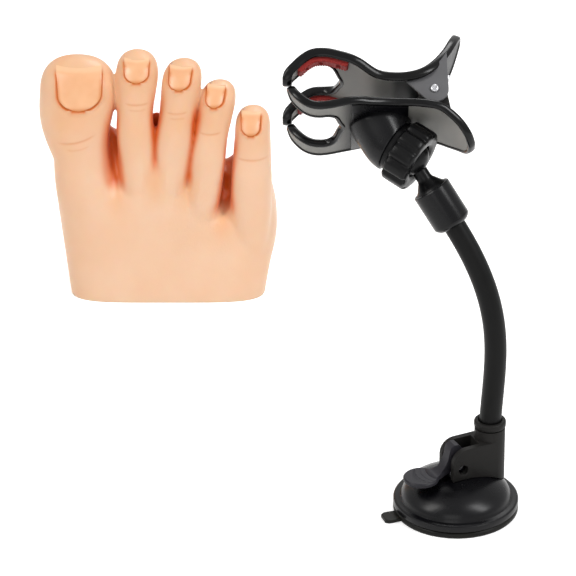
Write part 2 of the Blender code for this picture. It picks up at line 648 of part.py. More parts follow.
def make_lever(fork):
    """Add the stem that pulls the disc, the lever on its eye and the pin between them."""
    foot_low = DISC_FLOOR + STEM_TRAVEL + TOUCH_GAP
    foot_high = foot_low + STEM_FOOT_THICKNESS
    shoulder = LEVER_PIVOT_HEIGHT - LEVER_HUB_RADIUS - RUNNING_GAP * 2
    stem_mesh = turned('pull_stem', (
        (0, foot_low), (STEM_FOOT_RADIUS, foot_low), (STEM_FOOT_RADIUS, foot_high),
        (STEM_RADIUS, foot_high), (STEM_RADIUS, shoulder), (0, shoulder)), 20)
    stem = add('pull_stem', stem_mesh, material('steel', STEEL, 0.3, 1.0), fork)
    eye_side = [(-STEM_RADIUS * 0.9, foot_high)]
    eye_side.append((STEM_RADIUS * 0.9, foot_high))
    eye_side += arc((0, LEVER_PIVOT_HEIGHT), STEM_RADIUS, 0, 180, 8)
    eye = prism('stem_eye_guide', eye_side, -STEM_EYE_WIDTH / 2, STEM_EYE_WIDTH / 2, 'Y')
    boolean(stem, add('stem_eye_guide', eye, parent=fork), 'UNION')

    lever_place = pivot('lever_place', (0, 0, LEVER_PIVOT_HEIGHT), fork)
    hub = LEVER_HUB_RADIUS
    small_hub = hub - CAM_DROP
    pad_top = PAD_TOP - LEVER_PIVOT_HEIGHT
    pad_low = pad_top - PAD_THICKNESS
    knee = KNUCKLE_REACH
    rise = KNUCKLE_HEIGHT
    side = arc((0, 0), hub, -90, -25, 4)
    side += [(knee * 1.45, pad_low + PAD_THICKNESS * 0.45), (knee * 1.95, pad_low), (PAD_REACH, pad_low)]
    side += [(PAD_REACH, pad_top), (knee * 2.3, pad_top), (knee * 1.8, pad_top + PAD_THICKNESS * 0.6)]
    side += [(knee * 1.40, rise * 0.18), (knee * 1.14, rise * 0.45), (knee * 1.04, rise * 0.72)]
    side += [(knee * 0.88, rise * 0.91), (knee * 0.50, rise), (knee * 0.04, rise * 0.98)]
    side += [(-knee * 0.33, rise * 0.80), (-knee * 0.54, rise * 0.44)]
    side += arc((0, 0), small_hub, CAM_TOP_ANGLE, CAM_HEEL_ANGLE, 3)
    cam_steps = 4
    for i in range(1, cam_steps):
        angle = CAM_HEEL_ANGLE + LEVER_SWING * i / cam_steps
        side += arc((0, 0), small_hub + CAM_DROP * i / cam_steps, angle, angle, 1)[:1]
    half = FORK_SLOT / 2 - RUNNING_GAP
    lever = add('cam_lever', prism('cam_lever', side, -half, half, 'Y'),
                material('lever_plastic', CHARCOAL, 0.42), lever_place)
    bevel = PAD_THICKNESS / 4
    pad = turned('thumb_pad_guide', (
        (0, pad_low), (PAD_RADIUS - bevel, pad_low), (PAD_RADIUS, pad_low + bevel),
        (PAD_RADIUS, pad_top - bevel), (PAD_RADIUS - bevel, pad_top), (0, pad_top)), 28)
    boolean(lever, add('thumb_pad_guide', pad, parent=lever_place,
                       matrix=Matrix.Translation((PAD_REACH, 0, 0))), 'UNION')
    gap_half = STEM_EYE_WIDTH / 2 + RUNNING_GAP
    eye_room = bar('eye_room_cut', (0, -gap_half, 0), (0, gap_half, 0), hub + RUNNING_GAP * 2, 20)
    boolean(lever, add('eye_room_cut', eye_room, parent=lever_place))
    pin_hole = bar('lever_hole_cut', (0, -FORK_SLOT, 0), (0, FORK_SLOT, 0), LEVER_PIN_RADIUS + TOUCH_GAP, 12)
    boolean(lever, add('lever_hole_cut', pin_hole, parent=lever_place))
    boolean(stem, add('stem_hole_cut', pin_hole.copy(), parent=lever_place))
    add('lever_pin', bar('lever_pin', (0, -half, 0), (0, half, 0), LEVER_PIN_RADIUS, 12),
        material('steel', STEEL, 0.3, 1.0), lever_place)


def neck_route():
    """Return the four Bezier points of the neck, from the post to the sleeve."""
    bearing = radians(BLOCK_BEARING)
    foot = Vector((-POST_OFFSET * cos(bearing), -POST_OFFSET * sin(bearing), POST_TOP))
    top = Vector(NECK_TOP)
    lean = radians(NECK_LOWER_LEAN)
    first = foot + Vector((sin(lean), 0, cos(lean))) * NECK_LOWER_PULL
    second = top + Vector(STUD_AXIS).normalized() * NECK_UPPER_PULL
    return foot, first, second, top


def neck_point(share):
    """Return the neck's centre and direction at a share of its curve."""
    a, b, c, d = neck_route()
    t, u = share, 1 - share
    place = a * u ** 3 + b * (3 * u * u * t) + c * (3 * u * t * t) + d * t ** 3
    heading = (b - a) * (u * u) + (c - b) * (2 * u * t) + (d - c) * (t * t)
    return place, heading.normalized()


def neck_rings(radius, low_end, high_end, steps=17, sides=NECK_SIDES):
    """Return rings along the neck, run on straight by a length at each end."""
    stations = []
    start, heading = neck_point(0)
    stations.append((start + Vector((0, 0, low_end)), Vector((0, 0, 1))))
    for i in range(1, steps):
        stations.append(neck_point(i / steps))
    end, heading = neck_point(1)
    stations.append((end, heading))
    stations.append((end + heading * high_end, heading))
    side = Vector((0, 1, 0))
    rings = []
    for centre, heading in stations:
        side = (side - heading * side.dot(heading)).normalized()
        other = heading.cross(side)
        ring = []
        for i in range(sides):
            angle = 2 * pi * i / sides
            ring.append(centre + side * (radius * cos(angle)) + other * (radius * sin(angle)))
        rings.append(ring)
    return rings


def make_neck():
    """Add the bendable core and the smooth sheath drawn over it."""
    outer = neck_rings(NECK_RADIUS, TOUCH_GAP * 2, SLEEVE_CHAMFER * 2)
    inner = neck_rings(NECK_CORE_RADIUS + TOUCH_GAP, TOUCH_GAP * 2, SLEEVE_CHAMFER * 2)
    sheath = loft('neck_sheath', outer + list(reversed(inner)), closed=True)
    add('neck_sheath', sheath, material('neck_rubber', BLACK, 0.4))
    core = loft('neck_core', neck_rings(NECK_CORE_RADIUS, -NECK_INSERT, NECK_INSERT, sides=10))
    add('neck_core', core, material('steel', STEEL, 0.3, 1.0))


def ball_centre():
    """Return the middle of the ball that the head turns on."""
    along = Vector(STUD_AXIS).normalized()
    return Vector(NECK_TOP) - along * (STUD_LENGTH + SLEEVE_LENGTH)


def make_stud():
    """Add the sleeve that grips the neck and the ball stud fixed in it."""
    arm = pivot('arm_place', ball_centre(), turn=towards(STUD_AXIS))
    end = STUD_LENGTH + SLEEVE_LENGTH
    seat = SLEEVE_CAP_RIM
    cap = SLEEVE_RADIUS - SLEEVE_CAP_RIM
    sheath_hole = NECK_RADIUS + TOUCH_GAP
    core_hole = NECK_CORE_RADIUS + TOUCH_GAP
    sheath_floor = end - SLEEVE_CHAMFER * 2 - TOUCH_GAP
    core_floor = end - NECK_INSERT - TOUCH_GAP
    sleeve = turned('neck_sleeve', (
        (0, core_floor), (core_hole, core_floor), (core_hole, sheath_floor), (sheath_hole, sheath_floor),
        (sheath_hole, end), (SLEEVE_RADIUS - SLEEVE_CHAMFER, end), (SLEEVE_RADIUS, end - SLEEVE_CHAMFER),
        (SLEEVE_RADIUS, STUD_LENGTH + seat / 4), (SLEEVE_RADIUS - seat / 4, STUD_LENGTH), (cap, STUD_LENGTH),
        (cap, STUD_LENGTH + seat), (0, STUD_LENGTH + seat)), 24)
    add('neck_sleeve', sleeve, material('gloss_black', BLACK, 0.18), arm)
    neck_angle = math.degrees(math.acos(STUD_WAIST_RADIUS / BALL_RADIUS))
    ball = [(radius, height) for height, radius in
            arc((0, 0), BALL_RADIUS, 180, 90 - neck_angle, 9)]
    ball[0] = (0, -BALL_RADIUS)
    flange = cap - TOUCH_GAP
    stud = ball + [(STUD_WAIST_RADIUS, STUD_LENGTH - STUD_CONE_LENGTH), (flange, STUD_LENGTH),
                   (flange, STUD_LENGTH + seat - TOUCH_GAP), (0, STUD_LENGTH + seat - TOUCH_GAP)]
    add('ball_stud', turned('ball_stud', stud, 22), material('satin_black', BLACK, 0.3), arm)


def clamp_turn():
    """Return the turn that lays the clamp over, its length staying along X."""
    return Matrix.Rotation(radians(-CLAMP_TILT), 4, 'X')


def socket_axis():
    """Return the ball joint's axis in the clamp's own frame, from socket to neck."""
    turn = radians(SOCKET_TURN)
    return Vector((sin(turn), 0, -cos(turn)))


def make_ball_joint(head):
    """Add the socket under the lower jaw, the seat in it and the nut that locks the ball."""
    joint = pivot('joint_place', (-PIN_ALONG, 0, -PIN_ABOVE), head, towards(socket_axis()))
    to_joint = (Matrix.Translation((-PIN_ALONG, 0, -PIN_ABOVE)) @ towards(socket_axis())).inverted()
    bm = bmesh.new()
    sides = 28
    for i in range(sides):
        angle = 2 * pi * i / sides
        for above in (0, SOCKET_BASE_SKIRT):
            base = Vector((SOCKET_BASE_LENGTH + SOCKET_BASE_RADIUS * cos(angle),
                           SOCKET_BASE_RADIUS * sin(angle), SOCKET_BASE_DROP + above))
            bm.verts.new(to_joint @ base)
        for k in range(5):
            deep = k / 6
            radius = SOCKET_MOUTH_RADIUS * math.sqrt(1 - deep ** 2)
            bm.verts.new((radius * cos(angle), radius * sin(angle), -SOCKET_MOUTH_BACK - SOCKET_DOME_LENGTH * deep))
    bmesh.ops.convex_hull(bm, input=bm.verts)
    inside = [v for v in bm.verts if not v.link_faces]
    bmesh.ops.delete(bm, geom=inside, context='VERTS')
    bell = add('ball_socket', to_mesh('ball_socket', bm), material('gloss_black', BLACK, 0.18), joint)
    thread = bar('thread_guide', (0, 0, -SOCKET_MOUTH_BACK * 1.2), (0, 0, THREAD_END), THREAD_RADIUS, 28)
    boolean(bell, add('thread_guide', thread, parent=joint), 'UNION')
    bore = bar('socket_bore_cut', (0, 0, -SEAT_DEPTH - TOUCH_GAP), (0, 0, THREAD_END + CUT_OVERRUN),
               SOCKET_BORE_RADIUS, 28)
    boolean(bell, add('socket_bore_cut', bore, parent=joint))
    clear = jaw_slab('jaw_clearance', LOWER_JAW_REACH, LOWER_JAW_SIDE_SHARES,
                     -JAW_THICKNESS / 2 - TOUCH_GAP, SOCKET_BASE_RADIUS)
    boolean(bell, add('jaw_clearance', clear, parent=head))

    inner = BALL_RADIUS + TOUCH_GAP
    outer = SOCKET_BORE_RADIUS - TOUCH_GAP
    low_angle = math.degrees(math.asin(SEAT_HOLE_RADIUS / inner))
    high_angle = 90 + math.degrees(math.asin(SEAT_EDGE / inner))
    cup = [(inner * sin(radians(a)), -inner * cos(radians(a))) for a in
           [low_angle + (high_angle - low_angle) * i / 7 for i in range(8)]]
    seat = turned('ball_seat', [(SEAT_HOLE_RADIUS, -SEAT_DEPTH)] + cup 
                  + [(outer, SEAT_EDGE), (outer, -SEAT_DEPTH)], 22)
    add('ball_seat', seat, material('seat_plastic', GREY, 0.4), joint)

    low = -NUT_BACK
    high = NUT_LENGTH - NUT_BACK
    thread_room = THREAD_RADIUS + TOUCH_GAP
    lip_low = high - NUT_LIP_WIDTH * 1.55
    edge = NUT_GROOVE_DEPTH * 0.7
    sections = [(thread_room, low, False), (NUT_RADIUS - edge, low, True), (NUT_RADIUS, low + edge, True),
                (NUT_RADIUS, high - edge, True), (NUT_RADIUS - edge, high, True),
                (NUT_LIP_RADIUS + edge, high, False), (NUT_LIP_RADIUS, high - NUT_LIP_WIDTH, False),
                (NUT_LIP_RADIUS + edge / 2, lip_low, False), (thread_room, lip_low, False)]
    rib_shares = (1.0, 0.0, 0.0, 0.0)
    rings = []
    for radius, height, ribbed in sections:
        ring = []
        points = NUT_LOBES * len(rib_shares)
        for i in range(points):
            sink = NUT_GROOVE_DEPTH * rib_shares[i % len(rib_shares)] if ribbed else 0
            angle = 2 * pi * i / points
            ring.append(((radius - sink) * cos(angle), (radius - sink) * sin(angle), height))
        rings.append(ring)
    add('lock_nut', loft('lock_nut', rings, closed=True), material('satin_black', BLACK, 0.3), joint)


def side_curve(reach, shares, steps=6):
    """Return dense points and their running length along a jaw seen from the side."""
    points = [Vector((a * reach, b * reach)) for a, b in shares]
    ends = [points[0] * 2 - points[1]] + points + [points[-1] * 2 - points[-2]]
    dense = []
    for a, b, c, d in zip(ends, ends[1:], ends[2:], ends[3:]):
        for i in range(steps):
            t = i / steps
            dense.append(0.5 * (2 * b + (c - a) * t + (2 * a - 5 * b + 4 * c - d) * t * t
                                + (3 * b - a - 3 * c + d) * t ** 3))
    dense.append(points[-1])
    lengths = [0.0]
    for here, there in zip(dense, dense[1:]):
        lengths.append(lengths[-1] + (there - here).length)
    return dense, lengths, [lengths[i * steps] for i in range(len(points))]


def on_curve(curve, length, aside, above):
    """Return a point of a jaw: how far along its curve, across it and above its middle face."""
    dense, lengths, marks = curve
    length = min(max(length, 0), lengths[-1])
    k = next(i for i in range(1, len(lengths)) if length <= lengths[i])
    share = (length - lengths[k - 1]) / (lengths[k] - lengths[k - 1])
    place = dense[k - 1].lerp(dense[k], share)
    before = dense[max(k - 2, 0)]
    after = dense[min(k + 1, len(dense) - 1)]
    run = (after - before).normalized()
    return Vector((place.x - run.y * above, aside, place.y + run.x * above))


def jaw_slab(name, reach, shares, low, half_width):
    """Make a thick slab from a jaw's face upwards, to clear whatever seats under it."""
    curve = side_curve(reach, shares)
    top = reach
    under = [on_curve(curve, mark, 0, low) for mark in curve[2][4:]]
    outline = [(point.x, point.z) for point in under]
    outline += [(outline[-1][0], top), (outline[0][0], top)]
    return prism(name, outline, -half_width * 2, half_width * 2, 'Y')


def jaw_grid(curve):
    """Return the plan of a jaw's plate: its points as length and side, its cells and its edge."""
    dense, lengths, marks = curve
    slot_end = next(i for i, row in enumerate(JAW_PLAN_SHARES) if row[1] == 0)
    last = len(marks) - 1
    places, cells = {}, []
    for i, (wide, slot) in enumerate(JAW_PLAN_SHARES):
        length = min(max(marks[i], RIM_WIDTH), lengths[-1] - RIM_WIDTH)
        outer = max(JAW_HALF_WIDTH * wide - RIM_WIDTH, RIM_WIDTH / 2)
        inner = JAW_HALF_WIDTH * slot + RIM_WIDTH if i < slot_end else 0
        for side in (-1, 1):
            for column, across in enumerate((inner, (inner + outer) / 2, outer)):
                key = (i, 0 if i >= slot_end and column == 0 else side, column)
                places[key] = (length, side * across if column or i < slot_end else 0)

    def corner(i, side, column):
        return (i, 0, 0) if i >= slot_end and column == 0 else (i, side, column)

    for i in range(last):
        for side in (-1, 1):
            for column in (0, 1):
                cells.append([corner(i, side, column), corner(i + 1, side, column),
                              corner(i + 1, side, column + 1), corner(i, side, column + 1)])
    edge = [(0, 1, 0), (0, 1, 1)] + [(i, 1, 2) for i in range(last + 1)] + [(last, 1, 1), (last, 0, 0)]
    edge += [(last, -1, 1)] + [(i, -1, 2) for i in range(last, -1, -1)] + [(0, -1, 1), (0, -1, 0)]
    edge += [corner(i, -1, 0) for i in range(1, slot_end + 1)]
    edge += [corner(i, 1, 0) for i in range(slot_end - 1, 0, -1)]
    return places, cells, edge


def jaw_mesh(name, reach, shares):
    """Make a pressed jaw: a curved forked plate with a thick rounded rim all round its edge."""
    curve = side_curve(reach, shares)
    places, cells, edge = jaw_grid(curve)
    flat = [Vector(places[key]) for key in edge]
    area = sum(a.x * b.y - b.x * a.y for a, b in zip(flat, flat[1:] + flat[:1]))
    spin = 1 if area > 0 else -1
    outward = []
    for i, here in enumerate(flat):
        run = (flat[(i + 1) % len(flat)] - flat[i - 1]).normalized()
        outward.append(Vector((run.y, -run.x)) * spin)
    bm = bmesh.new()
    faces = []
    for above in (JAW_THICKNESS / 2, -JAW_THICKNESS / 2):
        faces.append({key: bm.verts.new(on_curve(curve, a, b, above)) for key, (a, b) in places.items()})
    for cell in cells:
        for side in faces:
            corners = []
            for key in cell:
                if side[key] not in corners:
                    corners.append(side[key])
            bm.faces.new(corners)
    rows = [[faces[0][key] for key in edge]]
    for out_share, high_share in RIM_SECTION_SHARES:
        row = []
        for (length, aside), away in zip(flat, outward):
            where = Vector((length, aside)) + away * (RIM_WIDTH * out_share)
            row.append(bm.verts.new(on_curve(curve, where.x, where.y, RIM_HEIGHT / 2 * high_share)))
        rows.append(row)
    rows.append([faces[1][key] for key in edge])
    for upper, lower in zip(rows, rows[1:]):
        for i in range(len(edge)):
            j = (i + 1) % len(edge)
            bm.faces.new((upper[i], upper[j], lower[j], lower[i]))
    return to_mesh(name, bm)


def ear_outline(reach, shares, low, high, radius, start, end):
    """Return an ear's side view: down from the jaw's middle face and round the hinge pin."""
    dense = side_curve(reach, shares)[0]
    along = [(point.x, point.y) for point in dense if low <= point.x <= high]
    return along + arc((0, 0), radius, start, end, 8)


def make_jaws(head):
    """Add both jaws with their ears, the hinge pin, the spring and the grip pads."""
    black = material('jaw_black', GREY, 0.45)
    upper = pivot('upper_jaw_place', (0, 0, 0), head)
    jaw = add('upper_jaw', jaw_mesh('upper_jaw', UPPER_JAW_REACH, UPPER_JAW_SIDE_SHARES), black, upper)
    lower = add('lower_jaw', jaw_mesh('lower_jaw', LOWER_JAW_REACH, LOWER_JAW_SIDE_SHARES), black, head)
    inner_ear = EAR_OUTER - EAR_THICKNESS - RUNNING_GAP
    upper_ear = ear_outline(UPPER_JAW_REACH, UPPER_JAW_SIDE_SHARES, -EAR_RADIUS * 2.2, EAR_RADIUS * 0.9,
                            EAR_RADIUS, 0, UPPER_EAR_ANGLE)
    lower_ear = ear_outline(LOWER_JAW_REACH, LOWER_JAW_SIDE_SHARES, -EAR_RADIUS * 1.5, EAR_RADIUS * 1.3,
                            LOWER_EAR_RADIUS, 0, LOWER_EAR_ANGLE)
    for target, outline, outer, parent in ((jaw, upper_ear, EAR_OUTER, upper), (lower, lower_ear, inner_ear, head)):
        for side in (-1, 1):
            label = f'{target.name}_ear_{"near" if side < 0 else "far"}'
            ear = prism(label, outline, side * outer, side * (outer - EAR_THICKNESS), 'Y')
            boolean(target, add(label, ear, parent=parent), 'UNION')
    hole = bar('hinge_hole_cut', (0, -JAW_HALF_WIDTH, 0), (0, JAW_HALF_WIDTH, 0), PIN_RADIUS + TOUCH_GAP, 14)
    cutter = add('hinge_hole_cut', hole, parent=head)
    boolean(jaw, cutter)
    boolean(lower, cutter)
    end = EAR_OUTER + TOUCH_GAP
    pin = turned('hinge_pin', (
        (0, -end - PIN_HEAD_THICKNESS), (PIN_HEAD_RADIUS, -end - PIN_HEAD_THICKNESS), (PIN_HEAD_RADIUS, -end),
        (PIN_RADIUS, -end), (PIN_RADIUS, end), (PIN_HEAD_RADIUS, end), (PIN_HEAD_RADIUS, end + PIN_HEAD_THICKNESS),
        (0, end + PIN_HEAD_THICKNESS)), 16)
    add('hinge_pin', pin, material('steel', STEEL, 0.3, 1.0), head, Matrix.Rotation(radians(90), 4, 'X'))
    add('jaw_spring', spring_mesh(), material('steel', STEEL, 0.3, 1.0), head)
    grips = (('upper', UPPER_JAW_REACH, UPPER_JAW_SIDE_SHARES, -1, upper, 2, 7),
             ('lower', LOWER_JAW_REACH, LOWER_JAW_SIDE_SHARES, 1, head, 2, 7))
    for which, reach, shares, face, parent, first, last in grips:
        for side, label in ((-1, 'near'), (1, 'far')):
            pad = grip_mesh(f'{label}_{which}_pad', reach, shares, face, side, first, last)
            add(f'{label}_{which}_pad', pad, material('grip_red', RED, 0.5), parent)


def grip_mesh(name, reach, shares, face, side, first, last):
    """Make the soft pad on the inner face of one claw."""
    curve = side_curve(reach, shares)
    middle = side * (SLOT_HALF_WIDTH + JAW_HALF_WIDTH) / 2
    near = JAW_THICKNESS / 2 + TOUCH_GAP
    far = near + PAD_GRIP_THICKNESS
    slim = PAD_GRIP_THICKNESS / 3
    rings = []
    marks = curve[2][first:last + 1]
    for mark in marks:
        ring = []
        for aside, above in ((-1, near), (1, near), (1, far - slim), (0.86, far), (-0.86, far), (-1, far - slim)):
            ring.append(on_curve(curve, mark, middle + aside * PAD_GRIP_WIDTH / 2, face * above))
        rings.append(ring)
    return loft(name, rings)


def spring_mesh():
    """Make the torsion spring round the hinge pin, its legs reaching under both handles."""
    steps = 10
    turns = SPRING_TURNS + 0.35
    width = SPRING_TURNS * SPRING_PITCH
    start_angle = radians(-100)
    route = []
    for i in range(int(turns * steps) + 1):
        angle = start_angle + 2 * pi * i / steps
        across = -width / 2 + width * i / (turns * steps)
        route.append(Vector((SPRING_RADIUS * cos(angle), across, SPRING_RADIUS * sin(angle))))
    for end, leg in ((0, SPRING_LOWER_LEG), (-1, SPRING_UPPER_LEG)):
        tip = Vector((leg[0], route[end].y, leg[1]))
        if end == 0:
            route = [tip, tip.lerp(route[0], 0.5)] + route
        else:
            route = route + [tip.lerp(route[-1], 0.5), tip]
    far_apart = steps // 2
    gaps = [(a - b).length for i, a in enumerate(route) for b in route[i + far_apart:]]
    print('jaw_spring: least gap to itself', round((min(gaps) - SPRING_WIRE) / mm, 2), 'mm')
    line = bpy.data.curves.new('jaw_spring_line', 'CURVE')
    line.dimensions = '3D'
    line.bevel_depth = SPRING_WIRE / 2
    line.bevel_resolution = 1
    line.use_fill_caps = True
    spline = line.splines.new('POLY')
    spline.points.add(len(route) - 1)
    for point, place in zip(spline.points, route):
        point.co = (*place, 1)
    wire = bpy.data.objects.new('jaw_spring_line', line)
    return bpy.data.meshes.new_from_object(wire)


def make_head():
    """Add everything that turns on the ball: socket, nut and both jaws."""
    turn = clamp_turn()
    place = ball_centre() + turn @ Vector((PIN_ALONG, 0, PIN_ABOVE))
    head = pivot('head_place', place, turn=turn)
    make_ball_joint(head)
    make_jaws(head)


def main():
    clear_scene()
    make_foot()
    fork = make_suction_base()
    make_post(fork)
    make_lever(fork)
    make_neck()
    make_stud()
    make_head()


main()
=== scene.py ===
# Looks for the nail practice foot and its clamp holder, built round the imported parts.
import math

import bmesh
import bpy
from mathutils import Matrix, Vector
from mathutils.bvhtree import BVHTree


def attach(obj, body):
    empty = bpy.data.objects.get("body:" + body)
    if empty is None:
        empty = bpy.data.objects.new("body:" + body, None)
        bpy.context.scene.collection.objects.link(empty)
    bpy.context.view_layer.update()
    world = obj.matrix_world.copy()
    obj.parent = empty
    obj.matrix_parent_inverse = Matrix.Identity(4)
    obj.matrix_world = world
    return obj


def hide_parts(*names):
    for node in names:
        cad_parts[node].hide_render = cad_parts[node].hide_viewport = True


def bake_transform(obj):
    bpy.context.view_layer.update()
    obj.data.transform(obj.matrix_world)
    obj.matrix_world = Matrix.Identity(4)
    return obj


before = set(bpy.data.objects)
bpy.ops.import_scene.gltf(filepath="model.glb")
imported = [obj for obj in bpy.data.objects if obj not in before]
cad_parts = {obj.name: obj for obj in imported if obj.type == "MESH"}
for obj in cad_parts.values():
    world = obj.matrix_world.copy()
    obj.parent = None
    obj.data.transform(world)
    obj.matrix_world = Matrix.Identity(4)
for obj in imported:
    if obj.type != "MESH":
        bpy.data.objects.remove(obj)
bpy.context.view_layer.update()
mm = 0.001
print("frame loaded,", len(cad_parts), "nodes")


# places that several pieces share, the same as in the parts
holder = {
    "neckFoot": (15.369 * mm, 7.496 * mm, 38.5 * mm),
    "neckTop": (-2.4 * mm, 16.0 * mm, 138.1 * mm),
    "lowerPull": 35.1 * mm,   # how far the neck holds its direction at each end
    "upperPull": 48.6 * mm,
    "lowerLean": 2,
    "studAxis": (0.536, -0.249, -0.807),
    "ballToSleeveEnd": 37.1 * mm,
    "blockBearing": 206,
    "clampTilt": 52,
    "socketTurn": 55,
    "pinAlong": 10.8 * mm,
    "pinAbove": 25.6 * mm,
}
neckFoot = Vector(holder["neckFoot"])
neckTop = Vector(holder["neckTop"])
studAxis = Vector(holder["studAxis"]).normalized()
ballCentre = neckTop - studAxis * holder["ballToSleeveEnd"]
clampTurn = Matrix.Rotation(math.radians(-holder["clampTilt"]), 4, "X")
alongDir = Vector((1, 0, 0))
aboveDir = clampTurn @ Vector((0, 0, 1))
pinCentre = ballCentre + alongDir * holder["pinAlong"] + aboveDir * holder["pinAbove"]
socketTurn = math.radians(holder["socketTurn"])
socketAxis = alongDir * math.sin(socketTurn) - aboveDir * math.cos(socketTurn)


def frameAlong(direction, origin):
    # z runs along the direction, turned the same way as in the parts
    return Matrix.Translation(origin) @ Vector((0, 0, 1)).rotation_difference(direction).to_matrix().to_4x4()


clampFrame = Matrix.Translation(pinCentre) @ clampTurn
jointFrame = frameAlong(socketAxis, ballCentre)
studFrame = frameAlong(studAxis, ballCentre)
blockFrame = Matrix.Rotation(math.radians(holder["blockBearing"]), 4, "Z")
layDown = Matrix.Rotation(math.radians(90), 4, "X")


# working helpers
def deselect():
    if bpy.context.object and bpy.context.object.mode != "OBJECT":
        bpy.ops.object.mode_set(mode="OBJECT")
    bpy.ops.object.select_all(action="DESELECT")


def pick(piece):
    deselect()
    piece.select_set(True)
    bpy.context.view_layer.objects.active = piece


def startEdit(piece):
    # edit mode with all of the piece selected
    pick(piece)
    bpy.ops.object.mode_set(mode="EDIT")
    bpy.ops.mesh.select_all(action="SELECT")


def endEdit():
    bpy.ops.object.mode_set(mode="OBJECT")


def modify(piece, kind, **settings):
    # add one modifier and apply it at once, so the mesh itself holds the shape
    modifier = piece.modifiers.new(kind.lower(), kind)
    for name, value in settings.items():
        setattr(modifier, name, value)
    pick(piece)
    bpy.ops.object.modifier_apply(modifier=modifier.name)


def settle(piece, matrix=None):
    # put the piece in its place and leave its object at the origin
    if matrix is not None:
        piece.matrix_world = matrix @ piece.matrix_world
    pick(piece)
    bpy.ops.object.transform_apply(location=True, rotation=True, scale=True)


def faceOut(piece):
    startEdit(piece)
    bpy.ops.mesh.remove_doubles(threshold=0.01 * mm)
    bpy.ops.mesh.normals_make_consistent(inside=False)
    endEdit()


def smooth(piece, angle=35):
    pick(piece)
    bpy.ops.object.shade_smooth_by_angle(angle=math.radians(angle))


def roundEdges(piece, width, segments=3, angle=30):
    modify(piece, "BEVEL", width=width, segments=segments, limit_method="ANGLE",
           angle_limit=math.radians(angle), use_clamp_overlap=True)


def carve(piece, cutter, operation="DIFFERENCE"):
    modify(piece, "BOOLEAN", object=cutter, operation=operation, solver="EXACT")
    bpy.data.objects.remove(cutter)


def addPiece(name, data):
    piece = bpy.data.objects.new(name, data)
    bpy.context.scene.collection.objects.link(piece)
    return piece


def meshPiece(name, bm):
    mesh = bpy.data.meshes.new(name)
    bm.to_mesh(mesh)
    bm.free()
    return addPiece(name, mesh)


def dress(piece, material, body, slot, *nodes):
    piece.data.materials.clear()
    piece.data.materials.append(material)
    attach(piece, body)
    if nodes:
        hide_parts(*nodes)


def finish(piece, angle, place, material, body, slot, *nodes):
    smooth(piece, angle)
    settle(piece, place)
    dress(piece, material, body, slot, *nodes)


def offsets(radius, height, *rows):
    # rings of a profile, each so many mm further out and further up than one place
    return [(radius + out * mm, height + up * mm) for out, up in rows]


def turnOnLathe(name, profile, sides=64, hollow=False):
    # a ring of the first radius, drawn up ring by ring; capped, or joined back to the first ring
    deselect()
    radius, height = profile[0]
    fill = "NOTHING" if hollow else "NGON"
    bpy.ops.mesh.primitive_circle_add(vertices=sides, radius=radius, fill_type=fill, location=(0, 0, height))
    piece = bpy.context.object
    piece.name = name
    bpy.ops.object.mode_set(mode="EDIT")
    bpy.ops.mesh.select_mode(type="VERT")
    bpy.ops.mesh.select_all(action="SELECT")
    for nextRadius, nextHeight in list(profile[1:]) + list(profile[:1] if hollow else ()):
        bpy.ops.mesh.extrude_region_move(
            MESH_OT_extrude_region={}, TRANSFORM_OT_translate={"value": (0, 0, nextHeight - height)})
        share = nextRadius / radius
        bpy.ops.transform.resize(value=(share, share, 1), center_override=(0, 0, nextHeight))
        radius, height = nextRadius, nextHeight
    bpy.ops.object.mode_set(mode="OBJECT")
    settle(piece)
    faceOut(piece)
    return piece


def clipped(value, low=0, high=1):
    return min(max(value, low), high)


def eased(value, low, high):
    # rises softly from 0 at the low value to 1 at the high one
    share = clipped((value - low) / (high - low))
    return share * share * (3 - 2 * share)


def bell(distance, reach):
    return math.exp(-(distance / reach) ** 2)


def squared(angle, power):
    # a point of a rounded square of half width 1
    across, back = math.cos(angle), math.sin(angle)
    return (math.copysign(abs(across) ** power, across), math.copysign(abs(back) ** power, back))


def easedAlong(table, place):
    # read a table of shares at a place, as one smooth curve through its rows
    rows = [list(row) for row in table]
    for i in range(len(rows) - 1):
        low, high = rows[i], rows[i + 1]
        if place <= high[0] or i == len(rows) - 2:
            step = clipped((place - low[0]) / (high[0] - low[0]))
            before = rows[i - 1] if i else low
            after = rows[i + 2] if i + 2 < len(rows) else high
            values = []
            for k in range(1, len(low)):
                rise = (high[k] - before[k]) / max(high[0] - before[0], 1e-9) * (high[0] - low[0])
                fall = (after[k] - low[k]) / max(after[0] - low[0], 1e-9) * (high[0] - low[0])
                a, b = low[k], high[k]
                values.append(
                    (2 * step ** 3 - 3 * step ** 2 + 1) * a + (step ** 3 - 2 * step ** 2 + step) * rise
                    + (3 * step ** 2 - 2 * step ** 3) * b + (step ** 3 - step ** 2) * fall)
            return values


def loftRings(bm, rings, capped=True):
    rows = [[bm.verts.new(point) for point in ring] for ring in rings]
    count = len(rows[0])
    for low, high in zip(rows, rows[1:]):
        for i in range(count):
            j = (i + 1) % count
            bm.faces.new((low[i], low[j], high[j], high[i]))
    if capped:
        bm.faces.new(list(reversed(rows[0])))
        bm.faces.new(rows[-1])


def loft(name, rings, capped=True):
    bm = bmesh.new()
    loftRings(bm, rings, capped)
    piece = meshPiece(name, bm)
    faceOut(piece)
    return piece


def paint(piece, name, values):
    # four numbers for each point of the mesh, that the material reads by name
    marks = piece.data.color_attributes.new(name, "FLOAT_COLOR", "POINT")
    marks.data.foreach_set("color", values)


